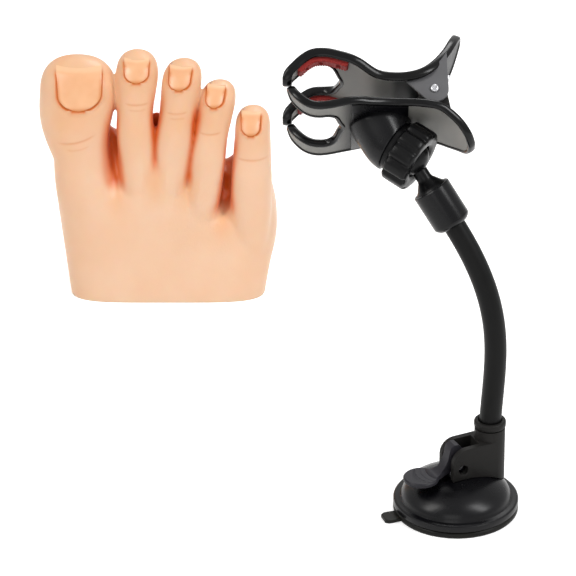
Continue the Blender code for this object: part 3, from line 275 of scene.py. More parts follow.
def refined(name, node, width, angle=30):
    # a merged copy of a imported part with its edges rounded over
    piece = addPiece(name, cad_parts[node].data.copy())
    startEdit(piece)
    bpy.ops.mesh.remove_doubles(threshold=0.005 * mm)
    bpy.ops.mesh.dissolve_limited(angle_limit=math.radians(1))
    bpy.ops.mesh.delete_loose()
    endEdit()
    if width:
        roundEdges(piece, width, 3, angle)
    smooth(piece)
    return piece


# finishes
def tone(red, green, blue):
    # a screen colour, 0 to 255, as the linear value that the shaders take
    linear = []
    for value in (red, green, blue):
        share = value / 255
        linear.append(share / 12.92 if share <= 0.04045 else ((share + 0.055) / 1.055) ** 2.4)
    return (*linear, 1)


def addNode(tree, kind, values=None, **settings):
    # a shader node with its own settings, then the starting values of its sockets
    node = tree.nodes.new("ShaderNode" + kind)
    for name, value in settings.items():
        setattr(node, name, value)
    for socket, value in (values or {}).items():
        node.inputs[socket].default_value = value
    return node


def wire(tree, *links):
    # each link is written as node, output, node, input
    for giver, output, taker, entry in links:
        tree.links.new(giver.outputs[output], taker.inputs[entry])


def newGroup(name, numbers, results):
    # a node group that takes a place and some numbers
    group = bpy.data.node_groups.new(name, "ShaderNodeTree")
    group.interface.new_socket("Vector", in_out="INPUT", socket_type="NodeSocketVector")
    for label, value in numbers.items():
        group.interface.new_socket(label, in_out="INPUT", socket_type="NodeSocketFloat").default_value = value
    for label in results:
        group.interface.new_socket(label, in_out="OUTPUT", socket_type="NodeSocketFloat")
    return group, group.nodes.new("NodeGroupInput"), group.nodes.new("NodeGroupOutput")


def makeSurfaceGrain():
    # fine moulded grain as a height, and soft larger patches as a mask
    group, given, out = newGroup(
        "surfaceGrain", {"Grain Scale": 2000.0, "Patch Scale": 60.0}, ("Height", "Patches"))
    fine = addNode(group, "TexNoise", {"Detail": 3, "Roughness": 0.6})
    broad = addNode(group, "TexNoise", {"Detail": 2})
    spread = addNode(group, "MapRange", {"From Min": 0.35, "From Max": 0.65})
    wire(group, (given, "Vector", fine, "Vector"), (given, "Vector", broad, "Vector"),
         (given, "Grain Scale", fine, "Scale"), (given, "Patch Scale", broad, "Scale"),
         (fine, "Fac", out, "Height"), (broad, "Fac", spread, "Value"), (spread, "Result", out, "Patches"))
    return group


def makeDustAndWear():
    # specks of dust that settle on faces that look up, and faint rub marks
    group, given, out = newGroup("dustAndWear", {"Speck Scale": 900.0}, ("Dust", "Rub"))
    cells = addNode(group, "TexVoronoi")
    dots = addNode(group, "MapRange", {"From Min": 0.16, "From Max": 0.08})
    upward = addNode(group, "NewGeometry")
    split = addNode(group, "SeparateXYZ")
    top = addNode(group, "MapRange", {"From Min": 0.3, "From Max": 0.95})
    both = addNode(group, "Math", operation="MULTIPLY")
    streak = addNode(group, "TexNoise", {"Scale": 140, "Detail": 4, "Distortion": 1.6})
    thin = addNode(group, "MapRange", {"From Min": 0.6, "From Max": 0.75})
    wire(group, (given, "Vector", cells, "Vector"), (given, "Vector", streak, "Vector"),
         (given, "Speck Scale", cells, "Scale"), (cells, "Distance", dots, "Value"),
         (upward, "Normal", split, "Vector"), (split, "Z", top, "Value"), (dots, "Result", both, 0),
         (top, "Result", both, 1), (both, "Value", out, "Dust"), (streak, "Fac", thin, "Value"),
         (thin, "Result", out, "Rub"))
    return group


surfaceGrain = makeSurfaceGrain()
dustAndWear = makeDustAndWear()


def newMaterial(name, values):
    material = bpy.data.materials.new(name)
    material.use_nodes = True
    shader = material.node_tree.nodes["Principled BSDF"]
    for socket, value in values.items():
        shader.inputs[socket].default_value = value
    return material, material.node_tree, shader


def addGrain(tree, grainScale, patchScale, roughness, spread):
    # the shared grain over the object's own coordinates; its patches vary the roughness a little
    place = addNode(tree, "TexCoord")
    scales = {"Grain Scale": grainScale, "Patch Scale": patchScale}
    grain = addNode(tree, "Group", scales, node_tree=surfaceGrain)
    gloss = addNode(tree, "MapRange", {"To Min": roughness, "To Max": roughness + spread})
    wire(tree, (place, "Object", grain, "Vector"), (grain, "Patches", gloss, "Value"))
    return place, grain, gloss


def addMarks(tree, name):
    # the masks painted on the mesh, as an attribute and its three colours
    marks = addNode(tree, "Attribute", attribute_name=name)
    split = addNode(tree, "SeparateColor")
    wire(tree, (marks, "Color", split, 0))
    return marks, split


def addMix(tree, below, colour, giver, output):
    # one colour laid over what is below it, by a mask
    mix = addNode(tree, "Mix", {7: colour}, data_type="RGBA")
    if isinstance(below, tuple):
        mix.inputs[6].default_value = below
    else:
        wire(tree, (below, 2, mix, 6))
    wire(tree, (giver, output, mix, 0))
    return mix


moulded = {"patchScale": 70, "dustColour": tone(150, 148, 142), "roughnessSpread": 0.06, "bump": 0.25}


def makeMoulded(name, colour, patch, roughness, grainScale, grainDepth, specular=0.5, dust=0.05, rub=0.05,
                metallic=0, marks=None, paintedShadeTone=None):
    # moulded plastic, rubber or metal: two near colours in patches, fine grain, rub marks and dust
    material, tree, shader = newMaterial(name, {"Metallic": metallic, "Specular IOR Level": specular})
    place, grain, gloss = addGrain(
        tree, grainScale, moulded["patchScale"], roughness, moulded["roughnessSpread"])
    wear = addNode(tree, "Group", node_tree=dustAndWear)
    shade = addMix(tree, tone(*colour), tone(*patch), grain, "Patches")
    # painted shade in its own tone, where marks are painted
    if marks:
        shade = addMix(tree, shade, tone(*paintedShadeTone), addMarks(tree, marks)[1], 0)
    lessDust = addNode(tree, "Math", {1: dust}, operation="MULTIPLY")
    dusty = addMix(tree, shade, moulded["dustColour"], lessDust, "Value")
    rubbed = addNode(tree, "Math", {1: rub}, operation="MULTIPLY_ADD")
    bump = addNode(tree, "Bump", {"Strength": moulded["bump"], "Distance": grainDepth * mm})
    wire(tree, (place, "Object", wear, "Vector"), (wear, "Dust", lessDust, 0), (wear, "Rub", rubbed, 0),
         (gloss, "Result", rubbed, 2), (grain, "Height", bump, "Height"), (dusty, 2, shader, "Base Color"),
         (rubbed, "Value", shader, "Roughness"), (bump, "Normal", shader, "Normal"))
    return material


# name, colour, colour of its patches, roughness, scale and depth of the grain in mm
glossBlack = makeMoulded(
    "glossBlack", (4, 4, 6), (7, 7, 10), 0.25, 1400, 0.004, specular=0.22, dust=0.02, rub=0.04)
satinBlack = makeMoulded("satinBlack", (5, 5, 6), (9, 9, 10), 0.28, 1800, 0.01, specular=0.16, dust=0.03)
matteCharcoal = makeMoulded(
    "matteCharcoal", (24, 23, 22), (30, 29, 28), 0.5, 2600, 0.03, specular=0.14, dust=0.03)
leverCharcoal = makeMoulded(
    "leverCharcoal", (34, 33, 38), (41, 40, 45), 0.42, 2200, 0.02, specular=0.18, dust=0.03)
neckSkin = makeMoulded("neckSkin", (9, 9, 9), (14, 14, 14), 0.42, 1500, 0.02, specular=0.13, dust=0.03)
discRubber = makeMoulded("discRubber", (11, 11, 10), (18, 18, 13), 0.4, 1600, 0.02, specular=0.16)
# the jaws' grey carries painted shade in near black
jawGrey = makeMoulded(
    "jawGrey", (120, 119, 115), (128, 126, 121), 0.4, 2400, 0.025, specular=0.3, dust=0.02, marks="jawPaintedShade",
    paintedShadeTone=(14, 14, 15))
rimBlack = makeMoulded("rimBlack", (4, 4, 5), (7, 7, 8), 0.18, 1500, 0.006, specular=0.22, dust=0.02)
earGrey = makeMoulded("earGrey", (88, 88, 90), (95, 95, 97), 0.46, 2400, 0.03, specular=0.25, dust=0.02)
gripRed = makeMoulded("gripRed", (160, 48, 44), (140, 44, 42), 0.5, 2000, 0.03, specular=0.3, dust=0.03)
seatGrey = makeMoulded("seatGrey", (40, 40, 42), (48, 48, 50), 0.4, 2000, 0.02, specular=0.2)
pinMetal = makeMoulded("pinMetal", (206, 206, 208), (190, 190, 193), 0.28, 3000, 0.01, dust=0.0, metallic=1)
print("finishes made")


# camera and light
studio = {
    "target": (-77.214 * mm, 0, 114.338 * mm),
    "distance": 2.2,
    "elevation": 28,
    "lens": 305.556,
    "roomLight": 0.25,
    "floorSize": 8,
    "floorGlow": 0.5,
}


def makeCamera():
    lens = bpy.data.cameras.new("photoCamera")
    lens.lens = studio["lens"]
    lens.clip_start = 0.05
    lens.clip_end = 50
    camera = addPiece("photoCamera", lens)
    tilt = math.radians(studio["elevation"])
    back = Vector((0, -math.cos(tilt), math.sin(tilt)))
    camera.location = Vector(studio["target"]) + back * studio["distance"]
    camera.rotation_euler = (math.radians(90 - studio["elevation"]), 0, 0)
    bpy.context.scene.camera = camera


lamps = {
    # name: place, size, watts, colour, what it points at
    "topLeft": ((-1.25, -0.5, 1.4), (0.42, 1.2), 15.8, (1.0, 0.985, 0.96), (-0.08, 0.1, 0.06)),
    "rightTall": ((1.15, -0.5, 1.4), (0.42, 1.2), 20.7, (0.99, 0.995, 1.0), (-0.03, 0.0, 0.09)),
    "frontFill": ((-0.3, -1.8, 0.7), (1.0, 1.0), 4, (1.0, 0.99, 0.98), (-0.08, 0.1, 0.06)),
    "backTop": ((0.2, 1.1, 1.3), (0.5, 0.5), 6, (1.0, 1.0, 1.0), (-0.05, 0.05, 0.08)),
}


def makeLamps():
    for name, (place, size, power, colour, target) in lamps.items():
        data = bpy.data.lights.new(name, "AREA")
        data.shape = "RECTANGLE"
        data.size, data.size_y = size
        data.energy = power
        data.color = colour
        lamp = addPiece(name, data)
        lamp.location = place
        lamp.rotation_euler = (Vector(target) - Vector(place)).to_track_quat("-Z", "Y").to_euler()
        lamp.visible_camera = False


def makeRoom():
    # the room's light is soft and even, and the camera, mirrors and glass see it white
    world = bpy.data.worlds.new("whiteRoom")
    world.use_nodes = True
    tree = world.node_tree
    tree.nodes.clear()
    seen = addNode(tree, "LightPath")
    direct = addNode(tree, "Math", operation="MAXIMUM")
    mirrored = addNode(tree, "Math", operation="MAXIMUM")
    white = addNode(tree, "Background", {"Strength": 1})
    soft = addNode(tree, "Background", {"Color": (1.0, 0.99, 0.98, 1), "Strength": studio["roomLight"]})
    either = addNode(tree, "MixShader")
    out = addNode(tree, "OutputWorld")
    wire(tree, (seen, "Is Camera Ray", direct, 0), (seen, "Is Transmission Ray", direct, 1),
         (direct, 0, mirrored, 0), (seen, "Is Glossy Ray", mirrored, 1), (mirrored, 0, either, 0),
         (soft, 0, either, 1), (white, 0, either, 2), (either, 0, out, 0))
    bpy.context.scene.world = world


def makeFloor():
    # white paper just under the part, lifted a little towards white where it is seen
    deselect()
    bpy.ops.mesh.primitive_plane_add(size=studio["floorSize"], location=(0, 0, -0.05 * mm))
    floor = bpy.context.object
    floor.name = "floor"
    paper, tree, sheet = newMaterial("whitePaper", {
        "Base Color": (0.93, 0.93, 0.93, 1), "Roughness": 0.9, "Specular IOR Level": 0.1})
    seen = addNode(tree, "LightPath")
    shown = addNode(tree, "Math", operation="MAXIMUM")
    lift = addNode(tree, "Math", {1: studio["floorGlow"]}, operation="MULTIPLY")
    glow = addNode(tree, "Emission")
    added = addNode(tree, "AddShader")
    wire(tree, (seen, "Is Camera Ray", shown, 0), (seen, "Is Glossy Ray", shown, 1), (shown, 0, lift, 0),
         (lift, 0, glow, "Strength"), (sheet, 0, added, 0), (glow, 0, added, 1),
         (added, 0, tree.nodes["Material Output"], "Surface"))
    floor.data.materials.append(paper)


makeCamera()
makeLamps()
makeRoom()
makeFloor()
bpy.context.scene.view_settings.view_transform = "Standard"
print("camera, lamps and room made")


# practice foot: a soft forefoot, five toes and their nails
foot = {
    "corner": (-137.0 * mm, 199.3 * mm),
    "baseWidth": 95.8 * mm,
    "baseDepth": 46.0 * mm,
    "webHeight": 62.0 * mm,
    "lean": 18,
    "webRise": 45,
    "voxel": 0.7 * mm,
    "smoothing": 36,
    "marksFrom": 55 * mm,   # nails and folds are above this height
    # height, left and right edge, depth, how far the front rounds back
    "forefoot": (
        (0.0, -1.015, 1.012, 1.0, 0.0), (0.22, -1.06, 1.07, 0.985, 0.0), (0.42, -1.1, 1.13, 0.95, 0.0),
        (0.6, -1.14, 1.125, 0.9, 0.0), (0.76, -1.175, 1.07, 0.82, 0.0), (0.88, -1.18, 0.99, 0.705, 0.015),
        (0.96, -1.16, 0.94, 0.55, 0.05), (1.0, -1.1, 0.9, 0.36, 0.14)),
    "webLine": (
        (-1.20, 1.10), (-0.80, 1.06), (-0.51, 0.80), (-0.16, 1.00), (0.19, 0.83), (0.57, 0.57), (0.80, 0.78),
        (1.20, 0.90)),
    # in mm: root x, tip x, root z, tip z, width, depth, sideways bow; then how wide the shaft is kept
    "toes": {
        "bigToe": (-38.0, -44.7, 30.0, 111.4, 37.8, 25.0, -3.4, 1.02),
        "secondToe": (-14.0, -14.8, 38.0, 114.8, 21.2, 20.0, -1.6, 1.03),
        "thirdToe": (-1.0, 8.5, 38.0, 110.8, 19.8, 19.4, -0.6, 1.09),
        "fourthToe": (15.2, 26.3, 32.0, 101.0, 18.2, 18.4, -0.8, 1.13),
        "littleToe": (40.8, 42.6, 22.0, 89.0, 17.6, 18.0, 0.0, 1.34)},
    # length, width, depth, forward bend
    "bigShape": (
        (0.0, 0.56, 0.8, -0.12), (0.2, 0.66, 0.95, -0.02), (0.38, 0.7, 0.98, 0.0), (0.54, 0.82, 1.0, 0.03),
        (0.69, 0.96, 1.0, 0.04), (0.8, 1.0, 1.0, 0.02), (0.885, 0.97, 0.92, 0.0), (0.948, 0.8, 0.72, -0.04),
        (0.986, 0.5, 0.42, -0.1), (1.0, 0.16, 0.14, -0.12)),
    "toeShape": (
        (0.0, 0.76, 0.82, -0.12), (0.2, 0.84, 0.95, -0.02), (0.38, 0.87, 0.99, 0.02),
        (0.52, 0.86, 0.98, 0.08), (0.66, 0.83, 0.92, 0.07), (0.78, 0.93, 0.97, 0.02),
        (0.875, 1.0, 1.0, -0.02), (0.942, 0.9, 0.84, -0.07), (0.981, 0.62, 0.54, -0.14),
        (1.0, 0.22, 0.2, -0.18)),
}
# toe, then in mm: distance aside of its middle, width, length, drop below its tip
nails = {
    "bigToeNail": ("bigToe", 0.9, 22.4, 16.9, 2.8),
    "secondToeNail": ("secondToe", -0.2, 12.0, 8.2, 2.1),
    "thirdToeNail": ("thirdToe", -1.3, 10.8, 8.2, 1.6),
    "fourthToeNail": ("fourthToe", -1.7, 8.9, 7.3, 1.0),
    "littleToeNail": ("littleToe", -1.0, 9.4, 8.2, 1.3),
}
nailBed = {
    "plateDepth": 0.9 * mm,
    "edgeArch": -0.025,   # curve of the free edge, as a share of the nail's width
    "edgeSink": 0.5 * mm,
    "edgeLip": 0.06 * mm,
    "foldHeight": 0.45 * mm,
    "foldReach": 1.3 * mm,
    "grooveDepth": 0.5 * mm,
    "rim": 0.25 * mm,
    "reach": 4 * mm,
}
# thin folds across the toes, seen from the front, in mm: both ends, sag, depth, width
foldLines = {
    "bigJoint": ((-54.5, 76.0), (-35.0, 80.0), -1.5, 0.15, 0.55),
    "bigJointLow": ((-50.0, 73.0), (-38.0, 75.0), -1.0, 0.08, 0.5),
    "secondJoint": ((-21.0, 94.5), (-8.5, 94.7), -0.5, 0.13, 0.5),
    "secondJointLow": ((-19.5, 91.8), (-10.0, 92.0), -0.4, 0.07, 0.45),
    "thirdJoint": ((-0.6, 90.2), (10.6, 90.8), -0.5, 0.12, 0.5),
    "thirdJointLow": ((0.6, 87.8), (9.4, 88.2), -0.4, 0.07, 0.45),
    "fourthJoint": ((15.6, 80.5), (27.0, 81.2), -0.6, 0.14, 0.5),
    "littleJoint": ((34.0, 68.5), (50.5, 69.0), -0.8, 0.12, 0.55),
}
# where painted shade goes deep in the gaps between the toes, seen from the front: the two toes, lowest and
# highest point
gapShades = (
    ("bigToe", "secondToe", 50.0 * mm, 96.0 * mm), ("secondToe", "thirdToe", 58.0 * mm, 102.0 * mm),
    ("thirdToe", "fourthToe", 52.0 * mm, 98.0 * mm), ("fourthToe", "littleToe", 38.0 * mm, 84.0 * mm))


def leanBack(height):
    return height * math.tan(math.radians(foot["lean"]))


def forefootRings(steps=36, sides=96):
    half, depthOfAll = foot["baseWidth"] / 2, foot["baseDepth"]
    rise = math.tan(math.radians(foot["webRise"]))
    rings = []
    for k in range(steps + 1):
        level = k / steps
        left, right, depth, back = easedAlong(foot["forefoot"], level)
        height = level * foot["webHeight"]
        front = leanBack(height) + depthOfAll * back
        middle, reach = half * (left + right) / 2, half * (right - left) / 2
        ring = []
        for i in range(sides):
            across, behind = squared(2 * math.pi * i / sides, 0.6 - 0.16 * (1 - level) ** 2)
            x = middle + reach * across
            thin = 1 - 0.16 * across * level
            y = front + depthOfAll * depth / 2 * (1 + behind * thin)
            web = easedAlong(foot["webLine"], x / half)[0]
            z = height * (1 + (web - 1) * level ** 2) + level ** 4 * rise * (y - leanBack(height))
            ring.append((x, y, z))
        rings.append(ring)
    return [[(x, y, -4 * mm) for x, y, z in rings[0]]] + rings


def toeSection(toe, share):
    rootX, tipX, rootZ, tipZ, width, depth, bow = (size * mm for size in foot["toes"][toe][:7])
    shaft = foot["toes"][toe][7]
    shape = foot["bigShape"] if toe == "bigToe" else foot["toeShape"]
    wide, deep, bend = easedAlong(shape, share)
    z = rootZ + (tipZ - rootZ) * share
    y = leanBack(z) + depth / 2 - bend * depth
    kept = clipped((0.88 - share) / 0.26)
    wide *= 1 + (shaft - 1) * kept * kept * (3 - 2 * kept)
    x = rootX + (tipX - rootX) * share + bow * bell(share - 0.58, 0.2)
    return Vector((x, y, z)), width / 2 * wide, depth / 2 * deep


def sectionAt(toe, z):
    rootZ, tipZ = (size * mm for size in foot["toes"][toe][2:4])
    return toeSection(toe, clipped((z - rootZ) / (tipZ - rootZ)))


def toeRings(toe, steps=60, sides=48):
    rings = []
    for k in range(steps + 1):
        centre, halfWidth, halfDepth = toeSection(toe, 1 - (1 - k / steps) ** 1.6)
        ring = []
        for i in range(sides):
            across, behind = squared(2 * math.pi * i / sides, 0.88)
            ring.append((centre.x + halfWidth * across, centre.y + halfDepth * behind, centre.z))
        rings.append(ring)
    return rings


def nailPlace(name):
    toe = nails[name][0]
    aside, width, length, drop = (size * mm for size in nails[name][1:])
    return toe, aside, width, length, foot["toes"][toe][3] * mm - drop


def nailTaper(down):
    # the sides run nearly parallel and close in a flat curve at the root
    rounding = clipped((down - 0.6) / 0.4)
    return (1 - 0.07 * clipped(down)) * math.sqrt(1 - 0.8 * rounding ** 2.2)


def nailReach(name, x, z):
    # how far a point seen from the front lies outside the nail's outline, and how far down it
    toe, aside, width, length, top = nailPlace(name)
    down = (top - z) / length
    centre = sectionAt(toe, z)[0]
    off = abs(x - centre.x - aside)
    half = width / 2 * nailTaper(down)
    outside = max(off - half, (down - 1) * length, -down * length)
    if down > 1:
        outside = math.hypot(max(off - half * 0.6, 0), (down - 1) * length)
    return outside, down


def plateSurface(name, tree, rows=12):
    # a smooth plate fitted to the toe: a middle line and one sideways curve
    fromFront = Vector((0, 1, 0))
    toe, aside, width, length, top = nailPlace(name)
    middle, curves = [], []
    for k in range(rows + 1):
        z = top - length * k / rows
        centre = sectionAt(toe, z)[0]
        found = []
        for side in (-0.42, 0, 0.42):
            start = Vector((centre.x + aside + side * width, -0.2, z))
            hit = tree.ray_cast(start, fromFront)[0]
            found.append(hit.y if hit else centre.y)
        middle.append(found[1])
        curves.append(((found[0] + found[2]) / 2 - found[1]) / (0.42 * width) ** 2)
    curve = sorted(curves)[len(curves) // 2]
    slope = (middle[-1] - middle[2]) / (rows - 2)

    def surface(x, z):
        down = (top - z) / length * rows
        centre = sectionAt(toe, z)[0]
        straight = middle[2] + slope * (down - 2)
        low = min(max(int(down), 0), rows - 1)
        bent = middle[low] + (middle[low + 1] - middle[low]) * (down - low)
        stiff = 0.15 + 0.4 * clipped(down / rows / 0.2)
        return straight * stiff + bent * (1 - stiff) + curve * 0.85 * (x - centre.x - aside) ** 2

    return surface


def foldDepth(x, z):
    # how deep the nearest fold is at a point of the front, in metres
    deepest = 0
    for (left, low), (right, high), sag, depth, width in foldLines.values():
        share = (x / mm - left) / (right - left)
        if -0.05 < share < 1.05:
            share = clipped(share)
            level = low + (high - low) * share + sag * 4 * share * (1 - share)
            fade = min(1, 6 * share, 6 * (1 - share))
            deepest += depth * mm * fade * bell(z / mm - level, width)
    return deepest


def makeSkinMaterial():
    # silicone skin: peach, more orange on the toes, with painted shade: orange down the left side, on the
    # toes' sides and below the gaps, deep orange in the gaps and thin orange lines in the grooves round the
    # nails
    look = {
        "pale": tone(239, 202, 172), "warmTintAndShade": tone(231, 172, 124), "deep": tone(216, 97, 22),
        "line": tone(206, 104, 26), "mottle": 0.16, "roughness": 0.32, "roughnessSpread": 0.12,
        "creaseScale": 480, "creaseDepth": 0.25 * mm, "plainBump": 0.12}
    material, tree, shader = newMaterial("siliconeSkin", {
        "Subsurface Weight": 0.32, "Subsurface Radius": (1.0, 0.45, 0.2), "Subsurface Scale": 4 * mm,
        "IOR": 1.42, "Sheen Weight": 0.06})
    place, grain, gloss = addGrain(tree, 1100, 55, look["roughness"], look["roughnessSpread"])
    marks, split = addMarks(tree, "skinMarks")
    mottle = addNode(tree, "Math", {1: look["mottle"]}, operation="MULTIPLY_ADD")
    shade = addMix(tree, look["pale"], look["warmTintAndShade"], mottle, 0)
    # painted shade: deep orange in the gaps, and orange lines in the grooves round the nails and in the folds
    for key, channel in (("deep", 1), ("line", 2)):
        shade = addMix(tree, shade, look[key], split, channel)
    stretch = addNode(tree, "Mapping", {"Scale": (1.5, 0.8, 0.8)})
    folds = addNode(tree, "TexVoronoi", {"Scale": look["creaseScale"]}, feature="DISTANCE_TO_EDGE")
    pores = addNode(tree, "Math", operation="ADD")
    deepen = addNode(tree, "MapRange", {"To Min": look["plainBump"]})
    bump = addNode(tree, "Bump", {"Distance": look["creaseDepth"]})
    wire(tree, (grain, "Patches", mottle, 0), (split, 0, mottle, 2), (shade, 2, shader, "Base Color"),
         (gloss, "Result", shader, "Roughness"), (place, "Object", stretch, "Vector"),
         (stretch, "Vector", folds, "Vector"), (folds, "Distance", pores, 0), (grain, "Height", pores, 1),
         (marks, "Alpha", deepen, "Value"), (deepen, "Result", bump, "Strength"),
         (pores, 0, bump, "Height"), (bump, "Normal", shader, "Normal"))
    return material


def makeNailMaterial():
    # the nail plates: the same silicone, smoother and a little pinker, with a painted highlight paler at the
    # free edge and painted orange shade along the sides and root
    look = {
        "plate": tone(241, 186, 141), "patch": tone(236, 175, 129), "edge": tone(244, 194, 152),
        "rim": tone(214, 122, 48), "roughness": 0.3, "roughnessSpread": 0.08, "ridgeScale": 260}
    material, tree, shader = newMaterial("nailPlate", {
        "Subsurface Weight": 0.15, "Subsurface Radius": (1.0, 0.4, 0.22), "Subsurface Scale": 2 * mm,
        "Coat Weight": 0.15, "Coat Roughness": 0.25})
    place, grain, gloss = addGrain(tree, 900, 90, look["roughness"], look["roughnessSpread"])
    marks, split = addMarks(tree, "nailMarks")
    body = addMix(tree, look["plate"], look["patch"], grain, "Patches")
    edge = addMix(tree, body, look["edge"], split, 0)
    rim = addMix(tree, edge, look["rim"], split, 1)
    ridges = addNode(tree, "TexWave", {"Scale": look["ridgeScale"], "Distortion": 0.6})
    bump = addNode(tree, "Bump", {"Strength": 0.08, "Distance": 0.02 * mm})
    wire(tree, (rim, 2, shader, "Base Color"), (gloss, "Result", shader, "Roughness"),
         (place, "Object", ridges, "Vector"), (ridges, "Fac", bump, "Height"),
         (bump, "Normal", shader, "Normal"))
    return material


def makeFoot():
    cornerX, cornerY = foot["corner"]
    bm = bmesh.new()
    loftRings(bm, forefootRings())
    for toe in foot["toes"]:
        loftRings(bm, toeRings(toe))
    skin = meshPiece("softForefoot", bm)
    modify(skin, "REMESH", mode="VOXEL", voxel_size=foot["voxel"])
    modify(skin, "SMOOTH", factor=0.5, iterations=foot["smoothing"])
    tree = BVHTree.FromPolygons(
        [v.co for v in skin.data.vertices], [list(p.vertices) for p in skin.data.polygons])
    surfaces = {name: plateSurface(name, tree) for name in nails}
    shapeNailBeds(skin, surfaces)
    paintSkin(skin)
    cutSole(skin)
    settle(skin, Matrix.Translation((cornerX, cornerY, 0)))
    smooth(skin, 180)
    dress(skin, makeSkinMaterial(), "base_and_foot", "soft_skin", "foot_body")
    nailSkin = makeNailMaterial()
    for name, surface in surfaces.items():
        plate = makeNailPlate(name, surface)
        settle(plate, Matrix.Translation((cornerX, cornerY, 0)))
        dress(plate, nailSkin, "base_and_foot", "nail_skin", name.replace("ToeNail", "_toe_nail"))
    print("practice foot made,", len(skin.data.polygons), "faces")


def selectNear(piece, reach):
    # pick the front faces close to a nail's edge or a fold
    pick(piece)
    mesh = piece.data
    for element in (mesh.vertices, mesh.edges, mesh.polygons):
        element.foreach_set("select", [False] * len(element))
    for face in mesh.polygons:
        x, y, z = face.center
        if face.normal.y > 0.3 or z < foot["marksFrom"]:
            continue
        face.select = foldDepth(x, z) > 0.02 * mm or any(
            -reach < nailReach(name, x, z)[0] < reach for name in nails)


def shapeNailBeds(skin, surfaces):
    for reach in (2.6 * mm, 1.3 * mm):
        selectNear(skin, reach)
        bpy.ops.object.mode_set(mode="EDIT")
        bpy.ops.mesh.select_mode(type="FACE")
        bpy.ops.mesh.subdivide(number_cuts=1, smoothness=0)
        bpy.ops.object.mode_set(mode="OBJECT")
    fronts = [vertex.normal.y < 0.35 and vertex.co.z > foot["marksFrom"] for vertex in skin.data.vertices]
    spots = [vertex.co.copy() for vertex in skin.data.vertices]
    rim = nailBed["rim"]
    for isFront, spot in zip(fronts, spots):
        x, y, z = spot
        if not isFront:
            continue
        spot.y += foldDepth(x, z)
        for name, surface in surfaces.items():
            outside, down = nailReach(name, x, z)
            if outside > nailBed["reach"]:
                continue
            if outside < rim:
                share = clipped((rim - outside) / (2 * rim))
                spot.y += (surface(x, z) + nailBed["plateDepth"] - y) * share * share * (3 - 2 * share)
            else:
                fold = nailBed["foldHeight"] * bell(outside - nailBed["foldReach"], 1.1 * mm)
                groove = nailBed["grooveDepth"] * bell(outside - rim, 0.35 * mm)
                spot.y -= (fold - groove) * clipped((down - 0.02) / 0.14)
    skin.data.vertices.foreach_set("co", [value for spot in spots for value in spot])
    skin.data.update()


def paintSkin(skin):
    # red: more orange on the toes, and painted shade down the left side, on the toes' sides and below the
    # gaps; green: painted shade deep in the gaps; blue: painted shade lines in the grooves round the nails
    # and in the folds; alpha: fine creases
    values = []
    sections = {}
    for vertex in skin.data.vertices:
        x, y, z = vertex.co
        depth = y - leanBack(z)
        level = round(z / (0.25 * mm))
        if level not in sections:
            sections[level] = {toe: sectionAt(toe, level * 0.25 * mm) for toe in foot["toes"]}
        rows = sections[level]
        toes = eased(z, 60 * mm, 92 * mm)
        # more orange on the toes, with painted shade down the left side of the foot
        warmTintAndShade = 0.1 + 0.36 * toes + 0.12 * eased(-x, 33 * mm, 46 * mm)
        if toes:
            # painted shade: the toes are more orange at their sides
            off = min(abs(x - centre.x) / halfWidth for centre, halfWidth, deep in rows.values())
            warmTintAndShade += 0.1 * toes * eased(off, 0.45, 1.0) - 0.4 * toes * eased(-x, 52 * mm, 62 * mm)
        # painted shade, deep orange, in the gaps between the toes
        deep = 0
        for first, second, low, high in gapShades:
            left = rows[first][0].x + rows[first][1]
            right = rows[second][0].x - rows[second][1]
            beside = bell(x - (left + right) / 2, 3.0 * mm + max(0, right - left) / 2)
            if beside < 0.02:
                continue
            above = eased(z, low, low + 7 * mm) * eased(-z, -high, 14 * mm - high)
            inward = eased(depth, 0.5 * mm, 4.5 * mm) * eased(-depth, -30 * mm, -22 * mm)
            deep = max(deep, beside * above * inward)
            # painted shade spreading below each gap
            warmTintAndShade += 0.5 * bell(x - (left + right) / 2, 5 * mm) * bell(z - low, 9 * mm)
        # painted shade lines in the grooves round the nails, fainter in the folds
        line = 0
        if vertex.normal.y < 0.35 and z > foot["marksFrom"]:
            for name in nails:
                outside, down = nailReach(name, x, z)
                if outside < 3 * mm:
                    line = max(line, bell(outside - 0.1 * mm, 1.0 * mm) * clipped((down - 0.02) / 0.12))
            line = max(line, min(1, foldDepth(x, z) / (0.15 * mm)) * 0.3)
        creased = bell(math.hypot(x - 12 * mm, z - 37 * mm), 20 * mm) * (depth < 12 * mm)
        values += [clipped(warmTintAndShade), min(deep, 1), min(line, 1), creased]
    paint(skin, "skinMarks", values)


def cutSole(skin):
    startEdit(skin)
    bpy.ops.mesh.bisect(plane_co=(0, 0, 0), plane_no=(0, 0, 1), use_fill=True, clear_inner=True)
    endEdit()
    faceOut(skin)


